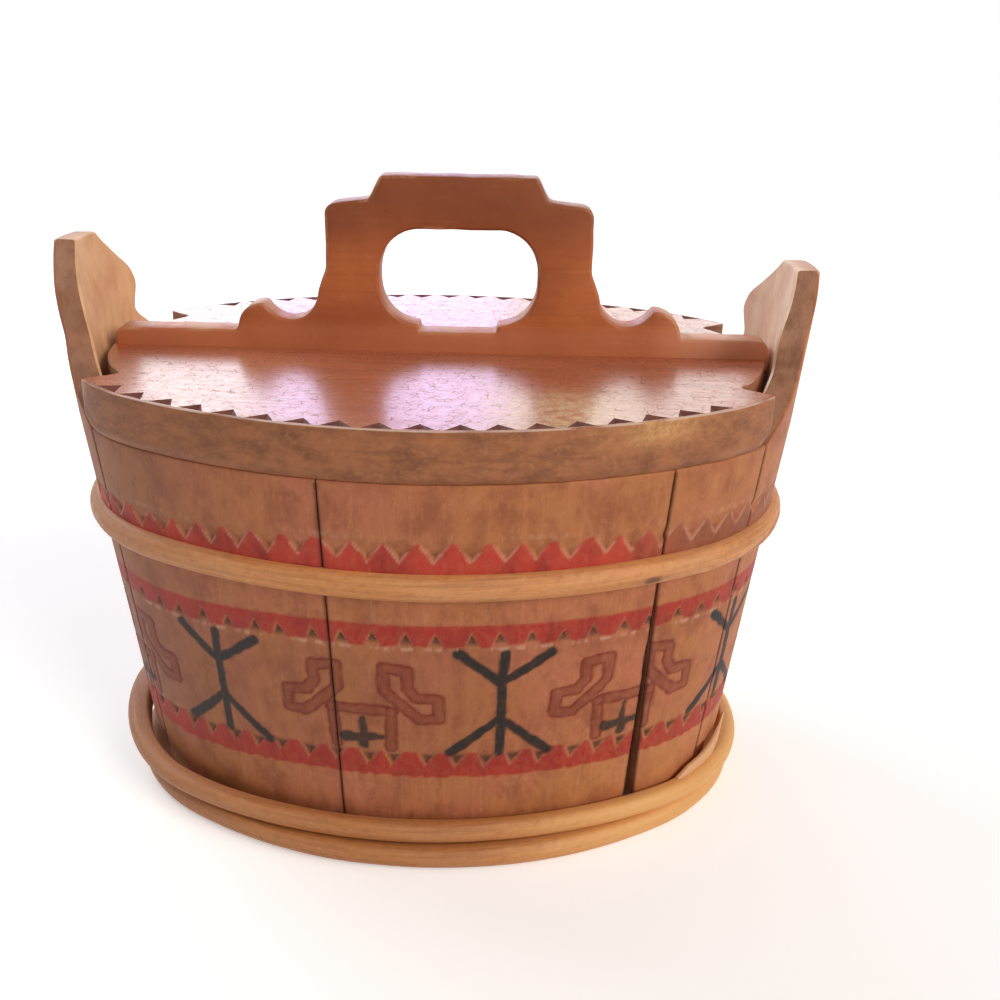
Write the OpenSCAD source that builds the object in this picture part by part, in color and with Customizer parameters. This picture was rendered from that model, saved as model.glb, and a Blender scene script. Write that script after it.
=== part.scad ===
// Stave-built oval box with two ear staves, withy hoops and a forked lift-off lid.
// X runs from ear to ear, Y to the back and Z up. The origin is at the middle of the foot.

/* [Tub] */
// Half length of the tub at its foot, outside
foot_half_len = 55; // [52:0.5:58]
// Half depth of the tub at its foot, outside
foot_half_dep = 38.2; // [37:0.2:41]
// Radius of the rounded ends at the foot, outside
end_r = 31.5; // [29:0.5:33]
// Height of the staves under the lid
rim_h = 71.4; // [60:0.2:85]
// How far the wall leans out for each unit of height
lean = 0.12; // [0.08:0.01:0.15]
// Thickness of a stave
stave_t = 5; // [4:0.25:6]
// Gap between neighbouring staves
joint_gap = 0.1; // [0.06:0.02:0.3]
// How far the end arcs overrun the side arcs, so that the two meet at a clean edge
arc_lap = 0.08; // [0.03:0.01:0.1]
// Run of the right-hand joint from the middle of the front, measured at the foot
right_len = 36.5; // [32:0.1:40]
// Run of the left-hand joint from the middle of the front, measured at the foot
left_len = 13.5; // [8:0.1:20]
// Width at the foot of the joint that has shrunk open
shrink_w = 2.2; // [0.8:0.1:2.5]
// Height above the foot at which the sides of that open joint would meet
shrink_h = 54; // [46:1:62]

/* [Bottom board] */
// Height of the board's underside above the foot
floor_z = 5; // [4:0.5:8]
// Thickness of the bottom board
floor_t = 4.5; // [3.5:0.25:6]
// Depth of the groove that holds the board
groove_d = 2; // [1.5:0.25:2.5]
// Play of the board in its groove, on each face
groove_play = 0.1; // [0.05:0.05:0.2]

/* [Ears] */
// Half width of an ear stave at the rim
ear_half_w = 24.4; // [21:0.2:26]
// Half width of an ear at its waist
waist_half_w = 13.2; // [12:0.2:15]
// Half width of an ear's head
head_half_w = 15.6; // [15.2:0.2:18]
// Half width of the flat on top of an ear
tip_half_w = 5; // [4:0.5:8]
// Height of the waist above the lid
waist_up = 2; // [1:0.25:4]
// Height of the widest place above the lid
head_up = 7; // [5.5:0.25:8]
// Height of the head's shoulders above the lid
shoulder_up = 10; // [9:0.25:12]
// Height of the ears' tops above the lid, as a mean of the two
tip_up = 17.5; // [16:0.25:20]
// How far the left ear stands above that mean, and the right ear below it
uneven = 1.2; // [0:0.1:2]
// How far the shoulders are drawn in from the head's full width
shoulder_in = 1; // [0.5:0.25:2]
// Thickness of an ear at its top
tip_t = 4.2; // [3.4:0.1:4.6]
// How far an ear's outer face has come in from the wall's line at its top
tip_in = 0.8; // [0.4:0.1:1.4]
// Height of the step in an ear stave's foot where the lower hoop lies
seat_h = 10.3; // [9:0.1:12]
// Depth of that step
seat_d = 1.5; // [1:0.1:2]

/* [Hoops] */
// Height of the middle of the upper hoop
upper_hoop_z = 54; // [46:0.5:58]
// Half height of the upper hoop, which is also the radius of its back
upper_hoop_r = 2.45; // [2:0.05:3]
// How far the upper hoop stands out
upper_hoop_t = 2.2; // [1.6:0.1:2.8]
// Play between the upper hoop and the wall
upper_play = 0.05; // [0.03:0.01:0.15]
// Height of the middle of the lower hoop's upper strand
strand_up_z = 5.95; // [5.9:0.05:6.4]
// Half height of the upper strand, which is also the radius of its back
strand_up_r = 1.9; // [1.6:0.05:2]
// Height of the middle of the lower hoop's lower strand
strand_low_z = 2; // [1.8:0.05:2.1]
// Half height of the lower strand, which is also the radius of its back
strand_low_r = 1.95; // [1.6:0.05:2]
// Thickness of the upper strand
strand_up_t = 3.5; // [2.8:0.1:4.2]
// How far the lower strand stands out at the front and back, beyond the play
strand_low_t = 5.5; // [4.5:0.1:6]
// How much less than that the lower strand stands out at the ends
strand_low_tuck = 2.5; // [0:0.1:3]
// How far the upper strand has worked away from each end of the wall
strand_up_slack = 1.5; // [0:0.1:2]
// How far the upper strand has slid to the left
strand_up_slide = 1.2; // [0:0.1:1.6]
// Play between the lower hoop, which has worked loose, and the wall
lower_play = 0.6; // [0.1:0.05:0.9]
// Number of flats that a knife leaves on a hoop's rounded back
hoop_flats = 8; // [6:1:10]

/* [Lid] */
// Thickness of the lid board
lid_t = 8.6; // [7:0.2:10]
// How far the lid overhangs the rim
overhang = 1.3; // [0.8:0.1:3]
// Bevel under the lid's edge
under_bevel = 1.2; // [0.6:0.1:2]
// Bevel on top of the lid's edge
top_bevel = 0.4; // [0.2:0.1:0.8]
// Play between the sides of a fork and its ear stave
fork_play = 0.6; // [0.4:0.1:1.5]
// Gap between the root of a fork and the ear
fork_gap = 0.6; // [0.5:0.1:2]

/* [Handle] */
// Thickness of the handle board
board_t = 5.6; // [5:0.2:7]
// Depth of the groove in the lid that takes the board
board_sink = 2.5; // [1.5:0.25:3.5]
// Play of the board in its groove, on each side
board_play = 0.06; // [0.04:0.02:0.15]
// Height of the low rail above the lid
rail_up = 3.4; // [2.8:0.1:4.2]
// Gap between the left end of the rail and its ear
rail_gap_left = 1.7; // [0.4:0.1:2.5]
// Gap between the right end of the rail and its ear
rail_gap_right = 0.4; // [0.3:0.1:2.5]
// Radius of the rail's upper corners
rail_round = 2; // [1:0.25:2.5]
// Distance of the grip's middle from the middle of the lid
grip_x = 3.8; // [0:0.2:6]
// Height of the grip above the lid
grip_up = 30.4; // [28:0.2:34]
// Half width of the grip at its root
root_half_w = 24.8; // [24.2:0.2:26]
// Half width of the grip at its waist
grip_half_w = 23.2; // [22:0.2:24]
// Half width of the flat on top of the grip
grip_top_half_w = 13.5; // [12:0.25:15]
// Height of the grip's shoulders above the lid
step_up = 26.4; // [25:0.2:27.5]
// Fall of the shoulders from the grip's flat to their corners
step_fall = 0.7; // [0.3:0.1:1.6]
// Radius of the shoulder corners
corner_round = 2; // [1:0.25:3]
// Half length of the hand hole
hole_half_w = 13.7; // [12:0.1:15]
// Height of the hole's underside above the lid
hole_low = 5; // [4.6:0.1:7]
// Height of the hole's top above the lid
hole_high = 21.3; // [19:0.1:22.5]
// Corner radius of the hand hole
hole_round = 7; // [5:0.25:7.5]
// Half length of the flat dip in the hole's underside
dip_half_w = 6.8; // [4:0.2:6.8]
// Depth of that dip
dip_d = 1.3; // [0.5:0.1:1.5]
// Radius of the round notch beside the grip
notch_r = 4.9; // [4:0.1:5.2]
// Height of the notch's centre above the lid
notch_up = 10.3; // [9.6:0.1:11]
// Radius of the quarter-round bump beside the notch
bump_r = 4.8; // [4:0.1:5.2]

/* [Pegs] */
// Diameter of a peg
peg_d = 3; // [2:0.25:3.5]
// Distance of a peg from the middle of the grip
peg_x = 18.5; // [17:0.25:20]
// Reach of a peg into the handle board
peg_reach = 8; // [5:0.5:10]
// Play round a peg
peg_play = 0.05; // [0.02:0.01:0.1]

/* [Hidden] */
$fn = 96;

// The oval is four arcs: an end arc about (end_c, 0) and a side arc about (0, side_c)
end_c = foot_half_len - end_r;
arc_step = foot_half_dep - end_r;
arc_span = span_for(end_c);
side_c = arc_span - arc_step;
side_r = end_r + arc_span - arc_lap;

// Heights worked out from the lid upwards
lid_top = rim_h + lid_t;
waist_z = lid_top + waist_up;
head_z = lid_top + head_up;
rail_top = lid_top + rail_up;
board_low = lid_top - board_sink;

// Places of the joints between the staves
rim_end_r = end_r + lean * rim_h;
ear_a = asin(ear_half_w / rim_end_r);
right_a = arc_deg(right_len, side_r);
left_a = arc_deg(left_len, side_r);

// Ends of the rail, just short of the ears
rail_reach = end_c + end_r + lean * board_low - stave_t;
rail_left = rail_gap_left - rail_reach;
rail_right = rail_reach - rail_gap_right;
// Room beyond every outline, for cutting tools
spare = 2 * foot_half_len;

// Distance between the centres of an end arc at c and its side arc
function span_for(c) = (pow(c, 2) + pow(arc_step, 2)) / (2 * arc_step);
// Angle that a run along an arc takes up
function arc_deg(run, r) = run / r * 180 / PI;
// How far the wall has leaned out at a height
function out(z) = lean * z;
// Place in plan at an angle off the middle of the front and a distance from the side arc's centre
function front_point(a, r) = [r * sin(a), side_c - r * cos(a)];

// Upright section of an ear stave of foot radius r, with the step in its foot and the groove for the bottom
module stave_section(r, step_h, step_d) {
  low = floor_z - groove_play;
  high = floor_z + floor_t + groove_play;
  polygon([
    [r - step_d, 0],
    [r + out(step_h) - step_d, step_h],
    [r + out(step_h), step_h],
    [r + out(rim_h), rim_h],
    [r + out(rim_h) - stave_t, rim_h],
    [r + out(high) - stave_t, high],
    [r + out(high) - stave_t + groove_d, high],
    [r + out(low) - stave_t + groove_d, low],
    [r + out(low) - stave_t, low],
    [r - stave_t, 0]
  ]);
}

// Turns its section from angle a to angle b about the centre (x, y)
module arc(x, y, a, b) {
  translate([x, y, 0])
    rotate([0, 0, a])
      rotate_extrude(angle = b - a)
        children();
}

// Turns its section full circle about the centre (x, y), for the foot radius r
module turned(x, y, r) {
  $r = r;
  translate([x, y, 0])
    rotate_extrude()
      children();
}

// Plan of the front part of an oval with end arcs at c, cut off where those take over
module front_part(c, span) {
  far_x = c + spare * c / span;
  far_y = spare * (span - arc_step) / span;
  polygon([[c, 0], [0, c / 2], [-c, 0], [-far_x, -far_y], [far_x, -far_y]]);
}

// Solid oval turned from an edge section, at each end longer than the wall by some length
module oval(longer = 0) {
  c = end_c + longer;
  span = span_for(c);
  for (turn = [0, 180]) {
    rotate([0, 0, turn]) {
      intersection() {
        turned(0, span - arc_step, end_r + span - arc_lap) children();
        linear_extrude(height = 4 * spare, center = true)
          front_part(c, span);
      }
      turned(c, 0, end_r) children();
    }
  }
}

// Section of a slab between two heights, reaching past the foot outline by the wall's lean and more
module slab_section(low, high, more) {
  polygon([[0, low], [$r + out(low) + more, low], [$r + out(high) + more, high], [0, high]]);
}

// Whole wall of the tub before it is parted into staves
module wall() {
  difference() {
    oval() slab_section(0, rim_h, 0);
    oval() slab_section(-stave_t, rim_h + stave_t, -stave_t);
    oval() slab_section(floor_z - groove_play, floor_z + floor_t + groove_play, groove_d - stave_t);
  }
}

// The wedge by which a joint has opened, from the foot upwards
module shrink_wedge(a) {
  translate([0, side_c, 0])
    rotate([0, 0, 270 + a])
      rotate([90, 0, 90])
        linear_extrude(height = side_r + spare)
          polygon([[-joint_gap, -joint_gap], [shrink_w, -joint_gap], [-joint_gap, shrink_h]]);
}

// Front corner stave on the right, from the joint at an angle off the middle to the ear stave
module corner_stave(joint_a, opened = false) {
  side_joint = joint_a + arc_deg(joint_gap / 2, side_r);
  ear_joint = ear_a + arc_deg(joint_gap / 2, end_r);
  difference() {
    intersection() {
      wall();
      linear_extrude(height = spare)
        polygon([
          front_point(side_joint, side_r / 2),
          front_point(side_joint, 2 * spare),
          [end_c + spare * cos(ear_joint), -spare * sin(ear_joint)],
          [end_c, 0]
        ]);
    }
    if (opened) shrink_wedge(joint_a);
  }
}

// Middle stave of the front
module middle_stave() {
  gap = arc_deg(joint_gap / 2, side_r);
  from = gap - left_a;
  to = right_a - gap;
  intersection() {
    wall();
    linear_extrude(height = spare)
      polygon([
        front_point(from, side_r / 2),
        front_point(from, 2 * spare),
        front_point(to, 2 * spare),
        front_point(to, side_r / 2)
      ]);
  }
}

// Outline of an ear seen along X, from the rim to its top, raised by some height above the rim
module ear_outline(raise) {
  half = [[ear_half_w, rim_h], [waist_half_w, waist_z + raise], [head_half_w, head_z + raise],
    [head_half_w - shoulder_in, lid_top + shoulder_up + raise], [tip_half_w, lid_top + tip_up + raise]];
  other = [for (i = [len(half) - 1:-1:0]) [-half[i][0], half[i][1]]];
  polygon(concat(half, other));
}

// Upright section of an ear above the rim, thinning towards its top
module ear_section(tip_z) {
  polygon([
    [end_r + out(rim_h) - stave_t, rim_h],
    [end_r + out(rim_h), rim_h],
    [end_r + out(tip_z) - tip_in, tip_z],
    [end_r + out(tip_z) - tip_in - tip_t, tip_z]
  ]);
}

// Right-hand ear stave: the end of the wall, and the ear that rises from it
module ear_stave(raise) {
  gap = arc_deg(joint_gap / 2, end_r);
  arc(end_c, 0, -ear_a + gap, ear_a - gap)
    stave_section(end_r, seat_h, seat_d);
  intersection() {
    arc(end_c, 0, -ear_a + gap, ear_a - gap)
      ear_section(lid_top + tip_up + raise);
    rotate([90, 0, 90])
      linear_extrude(height = spare)
        ear_outline(raise);
  }
}

// Section of a disc whose shaved round edge stands out from the wall at height z
module hoop_disc(z, back_r, stand_out) {
  reach = $r + out(z) + stand_out - back_r;
  back = [for (i = [0:hoop_flats]) let (a = 180 * i / hoop_flats - 90)
    [reach + back_r * cos(a), z + back_r * sin(a)]];
  polygon(concat([[0, z - back_r]], back, [[0, z + back_r]]));
}

// Closed hoop with a rounded back; its inside and outside each have a distance from the wall and a longer oval
module hoop(z, back_r, inside, outside) {
  difference() {
    oval(outside[1]) hoop_disc(z, back_r, outside[0]);
    oval(inside[1]) slab_section(z - 2 * back_r, z + 2 * back_r, inside[0]);
  }
}

// Section of the lid, with its edge bevelled below and above
module lid_section() {
  edge = $r + out(rim_h) + overhang;
  polygon([
    [0, rim_h],
    [edge - under_bevel, rim_h],
    [edge, rim_h + under_bevel],
    [edge, lid_top - top_bevel],
    [edge - top_bevel, lid_top],
    [0, lid_top]
  ]);
}

// Space for an ear stave at the right-hand end of the lid, its sides along the end's radii as the stave's are
module fork() {
  half_a = ear_a + arc_deg(fork_play, rim_end_r);
  arc(end_c, 0, -half_a, half_a)
    translate([rim_end_r - stave_t - fork_gap, rim_h - lid_t])
      square([spare, 3 * lid_t]);
}

// Bores for the pegs, or the pegs themselves
module pegs(play) {
  for (side = [-1, 1])
    translate([grip_x + side * peg_x, 0, rim_h])
      cylinder(d = peg_d + 2 * play, h = board_low - rim_h + peg_reach);
}

// Low rail from ear to ear, seen along Y
module rail_outline() {
  difference() {
    translate([rail_left, board_low])
      square([rail_right - rail_left, rail_top - board_low]);
    translate([rail_right, rail_top])
      rotate(180)
        corner_waste(rail_round);
    translate([rail_left, rail_top])
      rotate(270)
        corner_waste(rail_round);
  }
}

// What rounding removes from a square corner at the origin, lying in the first quadrant
module corner_waste(r) {
  difference() {
    translate([-r, -r])
      square(2 * r);
    translate([r, r])
      circle(r = r);
    translate([r, -r])
      square(2 * r);
    translate([-r, r])
      square(2 * r);
  }
}

// Right half of the grip's solid outline, seen along Y
module grip_half() {
  notch_x = root_half_w + notch_r;
  corner_z = lid_top + step_up - step_fall;
  difference() {
    union() {
      polygon([
        [0, board_low],
        [root_half_w, board_low],
        [root_half_w, lid_top + notch_up],
        [grip_half_w, lid_top + hole_high - hole_round],
        [grip_half_w, corner_z - corner_round],
        [grip_half_w - corner_round, corner_z],
        [grip_top_half_w + corner_round, lid_top + step_up],
        [grip_top_half_w, lid_top + grip_up],
        [0, lid_top + grip_up]
      ]);
      translate([grip_half_w - corner_round, corner_z - corner_round])
        circle(r = corner_round);
      translate([0, board_low])
        square([notch_x + bump_r, rail_top + bump_r - board_low]);
      translate([notch_x + bump_r, rail_top])
        circle(r = bump_r);
    }
    translate([notch_x, lid_top + notch_up])
      circle(r = notch_r);
    translate([notch_x - notch_r, lid_top + notch_up])
      square([2 * notch_r, spare]);
  }
}

// The hand hole, with the flat dip in its underside
module hand_hole() {
  flat = hole_half_w - hole_round;
  tall = hole_high - hole_low;
  translate([-flat, hole_low]) square([2 * flat, tall]);
  translate([-hole_half_w, hole_low + hole_round]) square([2 * hole_half_w, tall - 2 * hole_round]);
  for (x = [-flat, flat], z = [hole_low + hole_round, hole_high - hole_round])
    translate([x, z]) circle(r = hole_round);
  translate([-dip_half_w, hole_low - dip_d]) square([2 * dip_half_w, hole_round]);
}

module bottom_board() {
  color("peru")
    oval() slab_section(floor_z, floor_z + floor_t, groove_d - stave_t - groove_play);
}

module ear_stave_right() {
  color("burlywood") ear_stave(-uneven);
}

module ear_stave_left() {
  color("burlywood") mirror([1, 0, 0]) ear_stave(uneven);
}

module front_stave_right() {
  color("tan") corner_stave(right_a, opened = true);
}

module front_stave_middle() {
  color("tan") middle_stave();
}

module front_stave_left() {
  color("tan") mirror([1, 0, 0]) corner_stave(left_a);
}

module back_stave_left() {
  color("tan") rotate([0, 0, 180]) corner_stave(right_a);
}

module back_stave_middle() {
  color("tan") rotate([0, 0, 180]) middle_stave();
}

module back_stave_right() {
  color("tan") rotate([0, 0, 180]) mirror([1, 0, 0]) corner_stave(left_a);
}

module upper_hoop() {
  color("wheat")
    hoop(upper_hoop_z, upper_hoop_r, [upper_play, 0], [upper_play + upper_hoop_t, 0]);
}

module lower_hoop_upper() {
  color("wheat")
    translate([-strand_up_slide, 0, 0])
      hoop(strand_up_z, strand_up_r, [lower_play, strand_up_slack], [lower_play + strand_up_t, strand_up_slack]);
}

module lower_hoop_lower() {
  tuck = strand_low_tuck / 2;
  color("wheat")
    hoop(strand_low_z, strand_low_r, [lower_play + tuck, -tuck], [lower_play + strand_low_t, -strand_low_tuck]);
}

module lid_board() {
  groove_w = board_t + 2 * board_play;
  color("sienna")
    difference() {
      oval() lid_section();
      for (side = [0, 1])
        mirror([side, 0, 0]) fork();
      translate([-spare, -groove_w / 2, board_low])
        cube([2 * spare, groove_w, board_sink + lid_t]);
      pegs(peg_play);
    }
}

module lid_handle() {
  color("chocolate")
    difference() {
      rotate([90, 0, 0])
        linear_extrude(height = board_t, center = true) {
          difference() {
            union() {
              rail_outline();
              translate([grip_x, 0]) {
                grip_half();
                mirror([1, 0]) grip_half();
              }
            }
            translate([grip_x, lid_top]) hand_hole();
          }
        }
      pegs(peg_play);
    }
}

module handle_pegs() {
  color("burlywood") pegs(0);
}

bottom_board();
ear_stave_left();
ear_stave_right();
front_stave_left();
front_stave_middle();
front_stave_right();
back_stave_left();
back_stave_middle();
back_stave_right();
upper_hoop();
lower_hoop_upper();
lower_hoop_lower();
lid_board();
lid_handle();
handle_pegs();
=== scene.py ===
"""Looks of the oval stave box: carved and painted staves, withy hoops, forked lid and pierced handle."""

import math

import bmesh
import bpy
import numpy as np
from mathutils import Matrix, Vector
from mathutils.geometry import delaunay_2d_cdt


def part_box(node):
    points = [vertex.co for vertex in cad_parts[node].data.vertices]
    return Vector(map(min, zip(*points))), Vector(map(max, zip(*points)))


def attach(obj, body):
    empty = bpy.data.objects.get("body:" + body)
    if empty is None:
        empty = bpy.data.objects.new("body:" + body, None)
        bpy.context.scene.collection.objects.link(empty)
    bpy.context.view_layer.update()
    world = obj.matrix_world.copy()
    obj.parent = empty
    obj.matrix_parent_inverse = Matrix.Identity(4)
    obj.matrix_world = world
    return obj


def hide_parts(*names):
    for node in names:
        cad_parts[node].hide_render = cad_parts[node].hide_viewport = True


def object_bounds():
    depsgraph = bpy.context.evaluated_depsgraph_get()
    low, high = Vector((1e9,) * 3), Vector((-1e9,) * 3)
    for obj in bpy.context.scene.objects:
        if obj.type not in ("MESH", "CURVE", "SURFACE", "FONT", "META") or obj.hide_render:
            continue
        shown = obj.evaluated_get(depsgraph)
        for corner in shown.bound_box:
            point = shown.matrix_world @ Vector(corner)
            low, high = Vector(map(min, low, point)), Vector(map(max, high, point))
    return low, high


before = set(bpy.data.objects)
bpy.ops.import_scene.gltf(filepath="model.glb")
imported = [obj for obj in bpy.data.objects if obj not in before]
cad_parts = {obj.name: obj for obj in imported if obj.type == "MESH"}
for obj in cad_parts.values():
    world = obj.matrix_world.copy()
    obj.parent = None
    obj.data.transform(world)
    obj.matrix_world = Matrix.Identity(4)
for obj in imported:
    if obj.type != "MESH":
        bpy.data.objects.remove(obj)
cad_low, cad_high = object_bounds()

# Sizes in millimetres; heights come from the CAD nodes in model.glb
MM = 0.001


def high_of(node):
    """Highest height of a CAD node in millimetres."""
    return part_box(node)[1].z / MM


RIM = high_of("front_stave_middle")
LID_TOP = high_of("lid_board")
FOOT_HALF_LEN = 55.0
FOOT_HALF_DEP = 38.2
END_R = 31.5
LEAN = 0.12
STAVE_T = 5.0
JOINT_GAP = 0.1

# Runs along the wall are measured from the middle of the front, to the right, half way up
ARC_STEP = FOOT_HALF_DEP - END_R
MID = LEAN * RIM / 2


class Oval:
    """The foot's oval of four arcs, made longer by some distance at each end."""

    def __init__(self, longer=0.0):
        self.end_c = FOOT_HALF_LEN - END_R + longer
        span = (self.end_c**2 + ARC_STEP**2) / (2 * ARC_STEP)
        self.side_c = span - ARC_STEP
        self.side_r = END_R + span
        self.side_a = math.atan2(self.end_c, self.side_c)
        self.side_run = (self.side_r + MID) * self.side_a
        self.end_run = (END_R + MID) * (math.pi / 2 - self.side_a)
        self.half_way = 2 * self.side_run + 2 * self.end_run

    def point(self, run, more):
        """Places in plan at runs along the oval, which is widened by some distance."""
        run = (np.asarray(run, float) + self.half_way) % (2 * self.half_way) - self.half_way
        side = np.where(run < 0, -1.0, 1.0)
        far = np.abs(run)
        front = far < self.side_run
        back = far > self.side_run + 2 * self.end_run
        wide = self.side_r + MID
        at_end = self.side_a + (far - self.side_run) / (END_R + MID)
        turn = np.where(front, far / wide, np.where(back, math.pi - (self.half_way - far) / wide, at_end))
        centre_x = np.where(front | back, 0.0, side * self.end_c)
        centre_y = np.where(front, self.side_c, np.where(back, -self.side_c, 0.0))
        reach = np.where(front | back, self.side_r, END_R) + more
        return centre_x + reach * side * np.sin(turn), centre_y - reach * np.cos(turn)


FOOT = Oval()
END_C = FOOT.end_c
SIDE_R = FOOT.side_r
SIDE_A = FOOT.side_a
SIDE_RUN = FOOT.side_run
END_RUN = FOOT.end_run
HALF_WAY = FOOT.half_way
AROUND = 2 * HALF_WAY


def wall_point(run, height, out):
    """Points on the leaning wall, standing out from it by some distance."""
    height = np.asarray(height, float)
    x, y = FOOT.point(run, LEAN * height + out)
    return np.stack(np.broadcast_arrays(x, y, height), axis=-1)


def smooth_step(low, high, value):
    """Smooth ramp from 0 at low to 1 at high."""
    t = np.clip((value - low) / (high - low), 0.0, 1.0)
    return t * t * (3 - 2 * t)


def fade(low, high, value):
    """Smooth ramp from 1 at low to 0 at high."""
    return 1 - smooth_step(low, high, value)


def hump(value, start, full, back, end):
    """Smooth rise from 0 to 1 between the first two limits, and fall to 0 again between the last two."""
    return smooth_step(start, full, value) * fade(back, end, value)


def bell(away, reach):
    """Bell curve of 1 in its middle, which falls off over a reach."""
    return np.exp(-((away / reach) ** 2))


NOISE_SIDE = 64


def wander(x, y, cell, seed):
    """Smooth seeded noise from 0 to 1, with lumps of one cell."""
    table = np.random.default_rng(seed).random((NOISE_SIDE, NOISE_SIDE))
    x = np.asarray(x, float) / cell
    y = np.asarray(y, float) / cell
    column = np.floor(x).astype(int)
    row = np.floor(y).astype(int)
    across = smooth_step(0.0, 1.0, x - column)
    up = smooth_step(0.0, 1.0, y - row)

    def at(i, j):
        return table[(row + j) % NOISE_SIDE, (column + i) % NOISE_SIDE]

    below = at(0, 0) * (1 - across) + at(1, 0) * across
    above = at(0, 1) * (1 - across) + at(1, 1) * across
    return below * (1 - up) + above * up


WELD = 0.000002
GRAIN_LAYER = ("FLOAT_VECTOR", "vector", 3)
PAINT_LAYER = ("FLOAT", "value", 1)


class Shape:
    """Points in millimetres with named layers, and the faces between them."""

    def __init__(self):
        self.points = []
        self.faces = []
        self.slots = []
        self.layers = {}
        self.count = 0

    def add(self, points, **layers):
        """Adds points with their layers, and gives their indices."""
        points = np.asarray(points, float)
        flat = points.reshape(-1, 3)
        indices = np.arange(self.count, self.count + len(flat)).reshape(points.shape[:-1])
        for name, values in layers.items():
            self.layers.setdefault(name, []).append((self.count, np.asarray(values, float)))
        self.points.append(flat)
        self.count += len(flat)
        return indices

    def skin(self, grid, slot=0):
        """Quads over a grid of indices, facing out when columns run to the right and rows upwards."""
        corners = [grid[:-1, :-1], grid[:-1, 1:], grid[1:, 1:], grid[1:, :-1]]
        quads = np.stack(corners, axis=-1).reshape(-1, 4)
        self.faces.extend(quads.tolist())
        self.slots.extend([slot] * len(quads))

    def face(self, indices, slot=0):
        self.faces.append([int(i) for i in indices])
        self.slots.append(slot)

    def cover(self, points, faces, flip=False):
        """Adds points and the faces between them, turned over where that is asked for."""
        indices = self.add(points)
        for face in faces:
            self.face(indices[face][::-1] if flip else indices[face])

    def piece(self, name, body, nodes, materials, crease=35.0):
        """Makes the object, lets it ride on its body and stand for its CAD nodes."""
        points = np.concatenate(self.points) * MM
        mesh = bpy.data.meshes.new(name)
        mesh.from_pydata(points.tolist(), [], self.faces)
        mesh.polygons.foreach_set("material_index", self.slots)
        for layer, parts in self.layers.items():
            kind, field, width = GRAIN_LAYER if layer == "grain" else PAINT_LAYER
            values = np.zeros((self.count, width))
            for start, part in parts:
                part = part.reshape(-1, width)
                values[start:start + len(part)] = part
            attribute = mesh.attributes.new(layer, kind, "POINT")
            attribute.data.foreach_set(field, values.reshape(-1).astype(np.float32))
        work = bmesh.new()
        work.from_mesh(mesh)
        bmesh.ops.remove_doubles(work, verts=work.verts, dist=WELD)
        work.to_mesh(mesh)
        work.free()
        mesh.shade_smooth()
        mesh.set_sharp_from_angle(angle=math.radians(crease))
        for material in materials:
            mesh.materials.append(material)
        made = bpy.data.objects.new(name, mesh)
        bpy.context.scene.collection.objects.link(made)
        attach(made, body)
        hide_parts(*nodes)
        return made


def joined(grid):
    """Grid of indices with its first column once more at its end."""
    return np.concatenate([grid, grid[:, :1]], axis=1)


def at_height(places, height):
    """Places in plan raised to a height, or to a height each."""
    return np.column_stack([places, np.broadcast_to(height, len(places))])


# Carved bands: chips along each band, as corners about the chip's middle, in run and height; dark gives the
# chip depths over which painted shade in the hollow grows, and its strength
CHIP_COUNT = 64
CHIP_PITCH = AROUND / CHIP_COUNT
CHIP_JITTER = 0.45
BANDS = (
    {"low": 56.0, "high": 61.5, "phase": 2.85, "deep": 0.85, "pale": 0.75, "wear": 0.8, "seed": 11,
     "chip": [(2.35, 61.9), (-2.35, 61.9), (-0.1, 58.4)],
     "slopes": (0.24, 1.3, 1.3), "dark": (0.3, 0.75, 0.5)},
    {"low": 42.8, "high": 46.8, "phase": 2.9, "deep": 0.8, "pale": 0.15, "wear": 0.0, "seed": 12,
     "chip": [(-1.35, 42.6), (1.45, 42.6), (-0.1, 45.4)],
     "slopes": (0.34, 1.6, 1.1), "dark": (0.05, 0.4, 0.95)},
    {"low": 16.4, "high": 21.6, "phase": 0.85, "deep": 0.8, "pale": 0.2, "wear": 0.0, "seed": 13,
     "chip": [(1.95, 21.7), (-1.75, 21.7), (-0.5, 18.5)],
     "slopes": (0.3, 0.7, 1.7), "dark": (0.08, 0.4, 0.9)},
)
BAND_SOFT = 0.2
BAND_RAGGED = 0.7
BAND_TOP_SHARE = 0.4
CHIP_SOFT = 0.1
PALE_REACH = 0.15
PALE_WITHIN = (0.35, 0.55)
PALE_BREAKS = (0.25, 0.6)
PALE_SEEDS = 20
WORN_SHADE = 0.5

# Runs to the right between which red wears off and comes back, and to the left where bands droop and rise
WORN_RUNS = (28.0, 44.0, 85.0, 110.0)
DROOP_RUNS = (15.0, 45.0, 75.0, 125.0)
DROOP = 1.2

# Pale lines rubbed along the bands, each with its height, reach and strength
CHAFED = ((62.2, 0.7, 0.3), (42.3, 0.35, 0.8))
CHAFED_BREAKS = (0.5, 0.9)

# Painted figures in run and height, about each figure's middle; strokes go from one half width to another
TREE_STROKES = [
    ([(0.2, 41.4), (0.0, 36.0), (0.1, 28.2), (0.0, 21.5)], 0.88, 0.88),
    ([(-0.2, 35.6), (-7.0, 41.5)], 0.83, 0.98),
    ([(-0.2, 35.6), (7.9, 41.0)], 0.83, 0.98),
    ([(0.0, 28.6), (-8.4, 21.6)], 0.78, 1.0),
    ([(0.0, 28.6), (8.4, 21.0)], 0.78, 1.0),
]
KNOT_STROKES = [
    ([(3.8, 38.4), (7.8, 38.0), (7.8, 34.7), (9.1, 32.8), (12.7, 32.5), (12.9, 28.6), (9.8, 28.4),
      (6.5, 31.4), (3.9, 34.0), (3.8, 38.4)], 1.1, 1.1),
    ([(-5.4, 30.0), (5.2, 29.8)], 1.1, 1.1),
    ([(5.0, 29.8), (4.7, 22.4)], 1.05, 1.05),
]
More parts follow.
